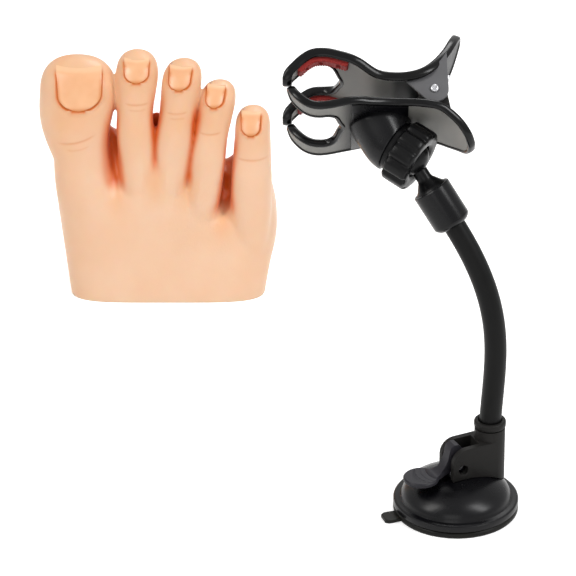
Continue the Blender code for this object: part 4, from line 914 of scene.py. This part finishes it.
def makeNailPlate(name, surface):
    # one plate with rounded edges, its free edge a little proud of the toe
    toe, aside, width, length, top = nailPlace(name)
    deselect()
    bpy.ops.mesh.primitive_grid_add(x_subdivisions=28, y_subdivisions=28, size=2)
    plate = bpy.context.object
    plate.name = name
    for vertex in plate.data.vertices:
        across, up = vertex.co.x, vertex.co.y
        down = (1 - up) / 2
        # the free edge is nearly straight and set into the tip, the root is a flat curve
        z = top + 0.3 * mm - (length + 0.4 * mm) * down
        z -= nailBed["edgeArch"] * width * across ** 2 * (1 - down) ** 2
        centre = sectionAt(toe, z)[0]
        x = centre.x + aside + (width / 2 * nailTaper(down) + 0.12 * mm) * across
        z += length * 0.05 * across ** 2 * clipped((down - 0.6) / 0.4)
        crown = 0.3 * mm * (1 - across ** 2)
        lip = nailBed["edgeLip"] * (1 - eased(down, 0.12, 0.2))
        sink = nailBed["edgeSink"] * (1 - eased(down, 0, 0.45))
        vertex.co = (x, surface(x, z) - crown - lip + sink + 0.28 * mm, z)
    faceOut(plate)
    modify(plate, "SOLIDIFY", thickness=nailBed["plateDepth"] + 0.2 * mm, offset=-1)
    roundEdges(plate, 0.22 * mm, 3, 40)
    smooth(plate, 60)
    # red: painted highlight along the free edge; green: painted shade along the sides and root, where the
    # plate meets its groove
    values = []
    for vertex in plate.data.vertices:
        outside, down = nailReach(name, vertex.co.x, vertex.co.z)
        tip = 1 - eased(down, 0.02, 0.1)
        edge = bell(min(outside, 0), 0.9 * mm) * clipped((down - 0.1) / 0.15)
        values += [tip, edge * 0.8, 0, 1]
    paint(plate, "nailMarks", values)
    return plate


# suction base: rubber disc with its pull tab, domed cover, post with its fork, and the cam lever
base = {
    "discRadius": 28.8 * mm, "discRim": 2.8 * mm, "discFloor": 2.0 * mm, "bossRadius": 7 * mm,
    "bossHole": 4.6 * mm, "bossTop": 8.9 * mm,
    "tabBearing": 200, "tabLength": 8.8 * mm, "tabWidth": 8.6 * mm, "tabThickness": 1.7 * mm,
    "domeRadius": 25.4 * mm, "domeTop": 18.4 * mm, "domeWall": 2.2 * mm, "flange": 3.2 * mm, "seam": 0.3 * mm,
    "stemHole": 3.35 * mm,
    "armShare": 0.68, "eyeGap": 2.4 * mm, "padReach": 18.2 * mm, "padRadius": 8.2 * mm, "padTop": 21.2 * mm,
    "grooves": 3, "grooveRadius": 11 * mm, "grooveWidth": 0.16 * mm, "grooveStep": 2.6,
}


def makeDisc():
    rim, radius = base["discRim"], base["discRadius"]
    floor, inner = base["discFloor"], base["domeRadius"]
    boss, hole, top = base["bossRadius"], base["bossHole"], base["bossTop"]
    disc = turnOnLathe("suctionDisc", (
        (radius - 0.4 * mm, 0.0), (radius, 0.5 * mm), (radius, rim * 0.55), (radius - 0.5 * mm, rim * 0.85),
        (radius - 1.2 * mm, rim), (inner - 2.2 * mm, rim), (boss, rim + 1.0 * mm), (boss, top - 0.5 * mm),
        (boss - 0.8 * mm, top), (hole, top), (hole, floor)), 96)
    tab = makePullTab(radius + base["tabLength"] / 2 - 2.4 * mm, rim / 2 - 0.35 * mm)
    carve(disc, tab, "UNION")
    roundEdges(disc, 0.25 * mm, 2, 40)
    smooth(disc, 40)
    dress(disc, discRubber, "base_and_foot", "disc_rubber", "suction_disc")


def makePullTab(reach, height):
    deselect()
    bpy.ops.mesh.primitive_cube_add(size=1, location=(reach, 0, height))
    tab = bpy.context.object
    tab.name = "pullTab"
    tab.scale = (base["tabLength"] + 1.2 * mm, base["tabWidth"], base["tabThickness"])
    settle(tab)
    startEdit(tab)
    bpy.ops.mesh.subdivide(number_cuts=5)
    endEdit()
    places = [vertex.co.x for vertex in tab.data.vertices]
    left, right = min(places), max(places)
    for vertex in tab.data.vertices:
        # the tab widens a little towards its round end
        share = (vertex.co.x - left) / (right - left)
        vertex.co.y *= 0.86 + 0.16 * share
        if share > 0.7:
            tip = (share - 0.7) / 0.3
            vertex.co.y *= math.sqrt(max(0.05, 1 - 0.6 * tip ** 2))
    roundEdges(tab, 0.6 * mm, 3, 50)
    settle(tab, Matrix.Rotation(math.radians(base["tabBearing"]), 4, "Z"))
    return tab


def domeLine(radius, low, top, hole, steps=20):
    # quarter ellipse from the dome's foot up to the stem hole
    last = math.acos(hole / radius)
    return [(radius * math.cos(last * k / steps), low + (top - low) * math.sin(last * k / steps))
            for k in range(steps + 1)]


def makeDome():
    # domed cover on a broad flange, open in the middle for the pull stem
    radius, top, wall, hole = base["domeRadius"], base["domeTop"], base["domeWall"], base["stemHole"]
    outer, low = base["discRadius"], base["discRim"] + base["seam"]
    high = low + base["flange"]
    crown = domeLine(radius, high, top, hole + 0.35 * mm)
    inner = domeLine(radius - wall, high - wall, top - wall, hole)
    dome = turnOnLathe(
        "domedCover",
        offsets(outer, low, (-0.35, 0), (-0.05, 0.2), (0, 0.7))
        + offsets(outer, high, (0, -1.0), (-0.15, -0.45), (-0.6, -0.1), (-1.3, 0))
        + offsets(radius, high, (0.9, 0), (0.3, 0.2), (0, 0.7)) + crown[2:]
        + offsets(hole, top, (0.05, -0.25), (0, -0.6)) + inner[::-1] + [(radius - wall, low)],
        144, hollow=True)
    smooth(dome, 35)
    dress(dome, glossBlack, "base_and_foot", "gloss_black", "dome_cover")


def makePlainPieces():
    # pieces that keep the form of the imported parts, with their edges rounded over
    rows = (
        ("forkedPost", "base_post", 0.5 * mm, matteCharcoal, "base_and_foot", "matte_charcoal"),
        ("neckCollar", "neck_collar", 0.4 * mm, matteCharcoal, "base_and_foot", "matte_charcoal"),
        ("leftPostScrew", "post_screw_left", 0.2 * mm, pinMetal, "base_and_foot", "steel"),
        ("rightPostScrew", "post_screw_right", 0.2 * mm, pinMetal, "base_and_foot", "steel"),
        ("pullStem", "pull_stem", 0.2 * mm, pinMetal, "stem", "steel"),
        ("leverPin", "lever_pin", 0.25 * mm, pinMetal, "lever", "steel"),
        ("ballSeat", "ball_seat", 0, seatGrey, "seat", "seat_plastic"))
    for name, node, width, material, body, slot in rows:
        dress(refined(name, node, width, 40), material, body, slot, node)


def makeLever():
    lever = refined("camLever", "cam_lever", 0)
    toBlock = blockFrame.inverted()
    for vertex in lever.data.vertices:
        place = toBlock @ vertex.co
        if place.x < base["padReach"] - base["padRadius"] and abs(place.y) > base["eyeGap"]:
            place.y *= base["armShare"]
            vertex.co = blockFrame @ place
    roundEdges(lever, 0.4 * mm, 3, 40)
    # shallow curved grooves across the thumb pad
    for k in range(base["grooves"]):
        deselect()
        bpy.ops.mesh.primitive_torus_add(
            major_segments=72, minor_segments=10, major_radius=base["grooveRadius"],
            minor_radius=base["grooveWidth"],
            location=(base["padReach"] + (k * base["grooveStep"] - 14.4) * mm, 0, base["padTop"] + 0.05 * mm))
        groove = bpy.context.object
        settle(groove, blockFrame)
        carve(lever, groove)
    smooth(lever, 35)
    dress(lever, leverCharcoal, "lever", "lever_plastic", "cam_lever")


# neck, sleeve, ball stud, bell and lock nut
arm = {
    "neckRadius": 5.1 * mm, "sleeveRadius": 8.85 * mm, "sleeveLength": 19.7 * mm, "studLength": 17.4 * mm,
    "ballRadius": 8.5 * mm, "waistRadius": 3.5 * mm, "coneLength": 5.2 * mm,
    "nutRadius": 14.9 * mm, "nutLength": 12.0 * mm, "nutBack": 6.3 * mm, "nutLip": 8.2 * mm,
    "nutLobes": 11, "grooveDepth": 1.35 * mm, "boreRadius": 10.3 * mm, "threadRadius": 11.3 * mm,
    "mouthRadius": 12.4 * mm, "mouthBack": 8.8 * mm, "domeLength": 16.5 * mm,
    "baseRadius": 14.0 * mm, "baseLength": -24.0 * mm, "baseDrop": -12.4 * mm, "baseSkirt": 4.0 * mm,
}


def neckPoint(share):
    lean = math.radians(holder["lowerLean"])
    first = neckFoot + Vector((math.sin(lean), 0, math.cos(lean))) * holder["lowerPull"]
    second = neckTop + studAxis * holder["upperPull"]
    t, u = share, 1 - share
    place = neckFoot * u ** 3 + first * (3 * u * u * t) + second * (3 * u * t * t) + neckTop * t ** 3
    heading = (first - neckFoot) * (u * u) + (second - first) * (2 * u * t) + (neckTop - second) * (t * t)
    return place, heading.normalized()


def makeNeckHalf(name, start, end, before, after, node, steps=40, sides=40):
    # one half of the neck, a tube lofted along its curve
    stations = [neckPoint(start + (end - start) * k / steps) for k in range(steps + 1)]
    if before:
        stations.insert(0, (stations[0][0] - stations[0][1] * before, stations[0][1]))
    if after:
        stations.append((stations[-1][0] + stations[-1][1] * after, stations[-1][1]))
    side = Vector((0, 1, 0))
    rings = []
    for centre, heading in stations:
        side = (side - heading * side.dot(heading)).normalized()
        other = heading.cross(side)
        rings.append([
            centre + (side * math.cos(2 * math.pi * i / sides) + other * math.sin(2 * math.pi * i / sides))
            * arm["neckRadius"] for i in range(sides)])
    half = loft(name, rings)
    smooth(half, 40)
    half.data.materials.append(neckSkin)
    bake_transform(half)
    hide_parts(node)


def makeNeck():
    # the neck in two halves, meeting at its middle
    makeNeckHalf("lowerNeck", 0, 0.5, -0.3 * mm, 0, "neck_sheath")
    makeNeckHalf("upperNeck", 0.5, 1, 0, 3.0 * mm, "neck_core")


def makeSleeve():
    radius, low, high = arm["sleeveRadius"], arm["studLength"], arm["studLength"] + arm["sleeveLength"]
    hole = arm["neckRadius"] + 0.25 * mm
    sleeve = turnOnLathe(
        "neckSleeve",
        offsets(radius, low, (-1.2, 1.2), (-1.1, 0.2), (-0.8, 0), (-0.3, 0.1), (0, 0.5), (0, 1.6))
        + offsets(radius, high, (0, -2.6), (-0.1, -1.9), (-0.8, -1.0), (-1.7, -0.2), (-2.1, 0))
        + offsets(hole, high, (0.4, 0), (0, -0.4), (0, -3.4)), 96)
    finish(sleeve, 32, studFrame, glossBlack, "arm", "gloss_black", "neck_sleeve")


def makeStud():
    radius, waist = arm["ballRadius"], arm["waistRadius"]
    low = math.acos(waist / radius)
    profile = [(0.05 * mm, -radius)]
    for k in range(1, 25):
        angle = -math.pi / 2 + (math.pi / 2 + low) * k / 24
        profile.append((radius * math.cos(angle), radius * math.sin(angle)))
    end = arm["studLength"]
    profile += offsets(waist, end - arm["coneLength"], (0, -0.6), (0.3, 0.6))
    profile += offsets(0, end, (6.2, -1.3), (7.4, -0.1), (7.55, 0.3), (7.55, 1.1))
    stud = turnOnLathe("ballStud", profile, 72)
    finish(stud, 50, studFrame, satinBlack, "arm", "satin_black", "ball_stud")


def makeNut():
    # lobed ring: turned plain first, then its grooves pressed in
    radius, low = arm["nutRadius"], -arm["nutBack"]
    high = low + arm["nutLength"]
    lip, thread = arm["nutLip"], arm["threadRadius"] + 0.3 * mm
    nut = turnOnLathe(
        "lockNut",
        [(thread, low)] + offsets(radius, low, (-2.2, 0), (-1.0, 0.15), (-0.3, 0.7), (0, 1.6), (0, 4.0))
        + offsets(radius, high, (0, -4.2), (0, -1.9), (-0.3, -0.9), (-1.0, -0.25), (-2.0, 0))
        + offsets(lip, high, (1.9, 0), (1.0, -0.15), (0.1, -1.0), (0, -2.2), (0.5, -3.9))
        + [(thread, high - 4.0 * mm)], arm["nutLobes"] * 16)
    for vertex in nut.data.vertices:
        reach = math.hypot(vertex.co.x, vertex.co.y)
        if reach > radius - 1.6 * mm:
            angle = math.atan2(vertex.co.y, vertex.co.x) * arm["nutLobes"] / (2 * math.pi)
            off = abs(angle - round(angle))
            sink = arm["grooveDepth"] * bell(off, 0.16)
            share = (reach - sink) / reach
            vertex.co.x *= share
            vertex.co.y *= share
    finish(nut, 40, jointFrame, satinBlack, "nut", "satin_black", "lock_nut")


def makeBell(sides=96):
    # the housing swells from the nut to a round foot under the lower jaw
    toJoint = jointFrame.inverted() @ clampFrame
    bm = bmesh.new()
    for i in range(sides):
        angle = 2 * math.pi * i / sides
        for lift in (0, arm["baseSkirt"]):
            rim = Vector((arm["baseLength"] + arm["baseRadius"] * math.cos(angle),
                          arm["baseRadius"] * math.sin(angle), arm["baseDrop"] + lift))
            bm.verts.new(toJoint @ rim)
        for k in range(11):
            deep = k / 12
            wide = arm["mouthRadius"] * math.sqrt(1 - deep ** 2)
            bm.verts.new((wide * math.cos(angle), wide * math.sin(angle),
                          -arm["mouthBack"] - arm["domeLength"] * deep))
    bmesh.ops.convex_hull(bm, input=bm.verts)
    bmesh.ops.delete(bm, geom=[v for v in bm.verts if not v.link_faces], context="VERTS")
    housing = meshPiece("ballSocket", bm)
    modify(housing, "REMESH", mode="VOXEL", voxel_size=0.45 * mm)
    modify(housing, "SMOOTH", factor=0.5, iterations=10)
    settle(housing, jointFrame)
    smooth(housing, 45)
    dress(housing, glossBlack, "head", "gloss_black", "ball_socket")
    bore, outer, top, low = arm["boreRadius"], arm["threadRadius"], 1.0 * mm, -9.4 * mm
    thread = turnOnLathe("socketThread", (
        (bore, top), (outer - 0.3 * mm, top), (outer, top - 0.4 * mm), (outer, low), (bore, low)), 72)
    finish(thread, 40, jointFrame, satinBlack, "head", "gloss_black")


# clamp: two pressed jaws with rounded rims, their ears, pin, spring and grip pads
clamp = {
    "plateThickness": 1.8 * mm, "lowerRimHeight": 3.8 * mm, "rimWidth": 2.2 * mm, "halfWidth": 25.0 * mm,
    "slotHalfWidth": 14.1 * mm, "earThickness": 1.6 * mm, "earOuter": 16.8 * mm, "earRadius": 6.4 * mm,
    "lowerEarRadius": 5.6 * mm, "earGap": 0.45 * mm, "pinRadius": 1.5 * mm, "pinHeadRadius": 1.95 * mm,
    "pinHeadThickness": 0.9 * mm, "padThickness": 1.7 * mm, "padWidth": 5.6 * mm, "touchGap": 0.3 * mm,
    "springWire": 1.2 * mm, "springRadius": 4.4 * mm, "springTurns": 5, "springPitch": 2.2 * mm,
    "springLowerLeg": (9.0 * mm, -11.6 * mm), "springUpperLeg": (7.1 * mm, 17.5 * mm),
    "reach": 66.0 * mm, "rowStep": 1.25 * mm, "rimStep": 1.3 * mm, "slotSetback": 2.1 * mm,
    "upperRimHeight": 4.3 * mm, "upperRimLift": 0.7 * mm, "lowerRimLift": 0.5 * mm,
    "patchStart": -37.5 * mm, "patchEnd": -12.0 * mm, "patchThickness": 0.7 * mm, "paintedShadeFrom": -17.5 * mm,
}
lowerSide = (
    (-0.992, -0.012), (-0.960, -0.080), (-0.903, -0.142), (-0.848, -0.176), (-0.788, -0.188),
    (-0.718, -0.182), (-0.647, -0.167), (-0.576, -0.152), (-0.500, -0.142), (-0.424, -0.135),
    (-0.345, -0.127), (-0.258, -0.124), (-0.167, -0.124), (-0.076, -0.129), (0.030, -0.145),
    (0.106, -0.188), (0.167, -0.233), (0.215, -0.282), (0.258, -0.336))
upperSide = (
    (-0.990, -0.005), (-0.987, 0.055), (-0.940, 0.112), (-0.880, 0.171), (-0.818, 0.206),
    (-0.735, 0.210), (-0.655, 0.191), (-0.580, 0.167), (-0.515, 0.139), (-0.455, 0.105),
    (-0.395, 0.079), (-0.318, 0.068), (-0.215, 0.067), (-0.120, 0.085), (-0.040, 0.127),
    (0.030, 0.200), (0.091, 0.294), (0.136, 0.397), (0.176, 0.506))
jawPlan = (   # half width and slot half width at the same places, as shares of the half width
    (0.900, 0.680), (0.970, 0.610), (1.000, 0.575), (1.000, 0.565), (1.000, 0.565),
    (1.000, 0.560), (1.000, 0.430), (1.000, 0.000), (0.960, 0.000), (0.890, 0.000),
    (0.830, 0.000), (0.795, 0.000), (0.785, 0.000), (0.780, 0.000), (0.750, 0.000),
    (0.670, 0.000), (0.550, 0.000), (0.390, 0.000), (0.190, 0.000))


def throughPoints(points, steps):
    ends = [points[0] * 2 - points[1]] + points + [points[-1] * 2 - points[-2]]
    dense = []
    for a, b, c, d in zip(ends, ends[1:], ends[2:], ends[3:]):
        for i in range(steps):
            t = i / steps
            dense.append(0.5 * (2 * b + (c - a) * t + (2 * a - 5 * b + 4 * c - d) * t * t
                                + (3 * b - a - 3 * c + d) * t ** 3))
    return dense + [points[-1]]


def sideCurve(shares, steps=8):
    dense = throughPoints([Vector((a * clamp["reach"], b * clamp["reach"])) for a, b in shares], steps)
    lengths = [0.0]
    for here, there in zip(dense, dense[1:]):
        lengths.append(lengths[-1] + (there - here).length)
    return dense, lengths, [lengths[i * steps] for i in range(len(shares))]


def onJaw(curve, length, aside, above):
    dense, lengths, marks = curve
    length = min(max(length, 0), lengths[-1])
    k = next(i for i in range(1, len(lengths)) if length <= lengths[i])
    share = (length - lengths[k - 1]) / (lengths[k] - lengths[k - 1])
    before = (dense[k] - dense[max(k - 2, 0)]).normalized()
    after = (dense[min(k + 1, len(dense) - 1)] - dense[k - 1]).normalized()
    place = dense[k - 1].lerp(dense[k], share)
    run = before.lerp(after, share).normalized()
    return Vector((place.x - run.y * above, aside, place.y + run.x * above))


def evenly(line, step):
    # the closed line again with evenly spaced points
    ring = line + line[:1]
    total = sum((b - a).length for a, b in zip(ring, ring[1:]))
    count = round(total / step)
    out, k, passed = [], 0, 0.0
    for i in range(count):
        goal = total * i / count
        while passed + (ring[k + 1] - ring[k]).length < goal:
            passed += (ring[k + 1] - ring[k]).length
            k += 1
        span = max((ring[k + 1] - ring[k]).length, 1e-9)
        out.append(ring[k].lerp(ring[k + 1], (goal - passed) / span))
    return out


def planEdge(curve):
    # plan of a jaw inside its rim: round the outside, then round the slot between its claws
    marks, total, width, rim = curve[2], curve[1][-1], clamp["halfWidth"], clamp["rimWidth"]
    slotEnd = next(i for i, row in enumerate(jawPlan) if row[1] == 0)
    outer = [Vector((min(max(mark, rim), total - rim), max(width * wide - rim, rim * 0.5)))
             for mark, (wide, slot) in zip(marks, jawPlan)]
    inner = [Vector((max(mark, rim), width * slot + rim))
             for mark, (wide, slot) in zip(marks, jawPlan[:slotEnd])]
    half = throughPoints(outer, 6)
    back = marks[slotEnd] - clamp["slotSetback"]
    ends = [inner[-1] - Vector((0.9 * mm, 0)), Vector((back - 1.2 * mm, 5.0 * mm))]
    slotSide = throughPoints(inner[:-1] + ends, 6)
    slotSide += [Vector((back - 0.4 * mm, 3.0 * mm)), Vector((back, 1.2 * mm))]
    other = [Vector((point.x, -point.y)) for point in reversed(half)]
    otherSlot = [Vector((point.x, -point.y)) for point in slotSide]
    return evenly(half + other + otherSlot + list(reversed(slotSide)), clamp["rimStep"])


def makeSheet(name, curve, edge, cuts, top, bottom, span=None):
    # the plan is cut into narrow rows, then bent along the jaw's side curve between two heights
    bm = bmesh.new()
    bm.faces.new([bm.verts.new((point.x, point.y, 0)) for point in edge])
    for cut in cuts:
        bmesh.ops.bisect_plane(bm, geom=list(bm.verts) + list(bm.edges) + list(bm.faces), dist=0.001 * mm,
                               plane_co=(cut, 0, 0), plane_no=(1, 0, 0))
    if span:
        spare = [v for v in bm.verts if not span[0] - 0.01 * mm < v.co.x < span[1] + 0.01 * mm]
        bmesh.ops.delete(bm, geom=spare, context="VERTS")
    low = {vertex: bm.verts.new(onJaw(curve, vertex.co.x, vertex.co.y, bottom)) for vertex in list(bm.verts)}
    for face in list(bm.faces):
        bm.faces.new([low[vertex] for vertex in reversed(face.verts)])
    for side in [pair for pair in bm.edges if len(pair.link_faces) == 1 and pair.verts[0] in low]:
        a, b = side.verts
        bm.faces.new((a, b, low[b], low[a]))
    for vertex in low:
        vertex.co = onJaw(curve, vertex.co.x, vertex.co.y, top)
    sheet = meshPiece(name, bm)
    faceOut(sheet)
    return sheet


def makeRim(name, curve, edge, height, lift, sides=16):
    # rounded lip all round the plate, standing more on its upper side
    area = sum(a.x * b.y - b.x * a.y for a, b in zip(edge, edge[1:] + edge[:1]))
    turn = 1 if area > 0 else -1
    rings = []
    for i, here in enumerate(edge):
        run = (edge[(i + 1) % len(edge)] - edge[i - 1]).normalized()
        away = Vector((run.y, -run.x)) * turn
        ring = []
        for k in range(sides):
            wide, high = squared(2 * math.pi * k / sides, 0.75)
            where = here + away * clamp["rimWidth"] * (0.46 + 0.54 * wide)
            ring.append(onJaw(curve, where.x, where.y, lift + high * height / 2))
        rings.append(ring)
    return loft(name, rings + rings[:1], capped=False)


def makeEars(name, curve, low, high, radius, start, end, outer, steps=16):
    # both ears of a jaw, as flat plates from its middle face down round the pin
    outline = [(point.x, point.y) for point in curve[0] if low <= point.x <= high]
    for k in range(steps + 1):
        angle = math.radians(start + (end - start) * k / steps)
        outline.append((radius * math.cos(angle), radius * math.sin(angle)))
    bm = bmesh.new()
    for side in (-1, 1):
        near, far = side * outer, side * (outer - clamp["earThickness"])
        first = [bm.verts.new((x, near, z)) for x, z in outline]
        second = [bm.verts.new((x, far, z)) for x, z in outline]
        bm.faces.new(first)
        bm.faces.new(list(reversed(second)))
        for i in range(len(outline)):
            j = (i + 1) % len(outline)
            bm.faces.new((first[i], second[i], second[j], first[j]))
    ears = meshPiece(name, bm)
    faceOut(ears)
    roundEdges(ears, 0.35 * mm, 2, 50)
    smooth(ears, 35)
    return ears


def paintJaw(plate, curve, side):
    # painted shade: the upper jaw's plate turns black towards its ears, the lower one softly towards its
    # mount plate
    toClamp = clampFrame.inverted()
    values = []
    for vertex in plate.data.vertices:
        along = (toClamp @ vertex.co).x
        if side == "upper":
            paintedShade = eased(along, clamp["paintedShadeFrom"] - 3.5 * mm, clamp["paintedShadeFrom"] + 1.2 * mm)
        else:
            paintedShade = 0.95 * eased(along, clamp["patchStart"] - 8 * mm, clamp["patchStart"] + 1 * mm)
            paintedShade *= 1 - eased(along, clamp["patchEnd"] - 1 * mm, clamp["patchEnd"])
        values += [paintedShade, 0, 0, 1]
    paint(plate, "jawPaintedShade", values)


def lengthAt(curve, along):
    dense, lengths, marks = curve
    k = next(i for i in range(1, len(dense)) if dense[i].x > along and dense[i].x > dense[i - 1].x)
    return lengths[k]


def makeMountPlate(curve, edge):
    # the black plate under the lower jaw that the socket stands on
    start, end = lengthAt(curve, clamp["patchStart"]), lengthAt(curve, clamp["patchEnd"])
    rows = round((end - start) / clamp["rowStep"])
    cuts = [start + (end - start) * k / rows for k in range(rows + 1)]
    near = -clamp["plateThickness"] / 2 + 0.1 * mm
    far = near - clamp["patchThickness"] - 0.1 * mm
    patch = makeSheet("socketMount", curve, edge, cuts, near, far, (start, end))
    roundEdges(patch, 0.3 * mm, 3, 50)
    finish(patch, 40, clampFrame, glossBlack, "head", "gloss_black")


def makeJaw(side, shares, body, ears):
    curve = sideCurve(shares)
    edge = planEdge(curve)
    half, step = clamp["plateThickness"] / 2, clamp["rowStep"]
    cuts = [k * step for k in range(1, int(curve[1][-1] / step))]
    plate = makeSheet(side + "JawPlate", curve, edge, cuts, half, -half)
    finish(plate, 40, clampFrame, jawGrey, body, "jaw_black", side + "_jaw")
    paintJaw(plate, curve, side)
    rim = makeRim(side + "JawRim", curve, edge, clamp[side + "RimHeight"], clamp[side + "RimLift"])
    finish(rim, 60, clampFrame, rimBlack, body, "jaw_black", side + "_jaw")
    pair = makeEars(side + "JawEars", curve, *ears)
    bore, reach = clamp["pinRadius"] + 0.3 * mm, 30 * mm
    hole = turnOnLathe("pinHole", ((bore, -reach), (bore, reach)), 24)
    settle(hole, layDown)
    carve(pair, hole)
    settle(pair, clampFrame)
    # the lower ears sit behind the upper ones and take dark charcoal as painted shade
    dress(pair, earGrey if side == "upper" else matteCharcoal, body, "jaw_black", side + "_jaw")
    return curve, edge


def makeGrip(name, curve, face, side, body, node, rows=120):
    # soft pad on the inner face of a claw: ribbed front and three round holes
    middle = side * (clamp["slotHalfWidth"] + clamp["halfWidth"]) / 2
    near = clamp["plateThickness"] / 2 - 0.05 * mm
    depth = clamp["padThickness"] + clamp["touchGap"]
    low, high = curve[2][2], curve[2][7]
    rings = []
    for k in range(rows + 1):
        share = k / rows
        length = low + (high - low) * share
        inEnd = min(share, 1 - share) * (high - low)
        slim = 1 - 0.35 * max(0.0, 1 - inEnd / (0.6 * mm)) ** 2
        ring = []
        for j in range(13):
            aside = -1 + 2 * j / 12
            top = depth * slim * (1 - 0.28 * abs(aside) ** 8)
            ridge = abs(aside) > 0.62 and k % 6 < 3
            top += 0.32 * mm if ridge else 0
            for where in (-0.55, 0.0, 0.55):
                spot = low + (high - low) * (0.5 + where * 0.62)
                off = math.hypot(length - spot, aside * clamp["padWidth"] / 2)
                if off < 1.05 * mm:
                    top = 0.55 * mm
            ring.append(onJaw(curve, length, middle + aside * clamp["padWidth"] / 2, face * (near + top)))
        for aside in (1, -1):
            ring.append(onJaw(curve, length, middle + aside * clamp["padWidth"] / 2, face * near))
        rings.append(ring)
    pad = loft(name, rings)
    finish(pad, 35, clampFrame, gripRed, body, "grip_red", node)


def makePin():
    end, head, bore = clamp["earOuter"] + clamp["touchGap"], clamp["pinHeadRadius"], clamp["pinRadius"]
    thick = clamp["pinHeadThickness"]
    cap = ((0.25 * mm, 0.55), (0.7 * mm, 0.6), (1.0 * mm, 1), (head - 0.7 * mm, 1), (head - 0.2 * mm, 0.7),
           (head, 0.25))
    near = [(radius, -end - thick * share) for radius, share in cap] + [(head, -end), (bore, -end)]
    pin = turnOnLathe("hingePin", near + [(radius, -height) for radius, height in reversed(near)], 40)
    finish(pin, 40, clampFrame @ layDown, pinMetal, "head", "steel", "hinge_pin")


def makeSpring():
    steps, turns = 24, clamp["springTurns"] + 0.35
    width, coil = clamp["springTurns"] * clamp["springPitch"], clamp["springRadius"]
    route = []
    for i in range(int(turns * steps) + 1):
        angle = math.radians(-100) + 2 * math.pi * i / steps
        across = -width / 2 + width * i / (turns * steps)
        route.append(Vector((coil * math.cos(angle), across, coil * math.sin(angle))))
    first = Vector((clamp["springLowerLeg"][0], route[0].y, clamp["springLowerLeg"][1]))
    last = Vector((clamp["springUpperLeg"][0], route[-1].y, clamp["springUpperLeg"][1]))
    route = [first] + route + [last]
    line = bpy.data.curves.new("jawSpring", "CURVE")
    line.dimensions = "3D"
    line.bevel_depth = clamp["springWire"] / 2
    line.bevel_resolution = 3
    line.use_fill_caps = True
    spline = line.splines.new("POLY")
    spline.points.add(len(route) - 1)
    for point, place in zip(spline.points, route):
        point.co = (*place, 1)
    pick(addPiece("jawSpring", line))
    bpy.ops.object.convert(target="MESH")
    spring = bpy.context.object
    faceOut(spring)
    smooth(spring, 60)
    settle(spring, clampFrame)
    spring.data.materials.append(pinMetal)
    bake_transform(spring)
    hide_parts("jaw_spring")


def makeClamp():
    radius, outer = clamp["earRadius"], clamp["earOuter"]
    inner = outer - clamp["earThickness"] - clamp["earGap"]
    upper, edge = makeJaw("upper", upperSide, "upper_claws", (
        -radius * 2.2, radius * 0.9, radius, 0, -130, outer))
    lower, edge = makeJaw("lower", lowerSide, "head", (
        -radius * 1.5, radius * 1.3, clamp["lowerEarRadius"], 0, 150, inner))
    makeMountPlate(lower, edge)
    for side, label in ((-1, "near"), (1, "far")):
        makeGrip(label + "UpperPad", upper, -1, side, "upper_claws", label + "_upper_pad")
        makeGrip(label + "LowerPad", lower, 1, side, "head", label + "_lower_pad")
    makePin()
    makeSpring()


makeFoot()
makeDisc()
makeDome()
makeLever()
makePlainPieces()
print("suction base made")
makeNeck()
makeSleeve()
makeStud()
makeNut()
makeBell()
print("neck and ball joint made")
makeClamp()
print("clamp made")
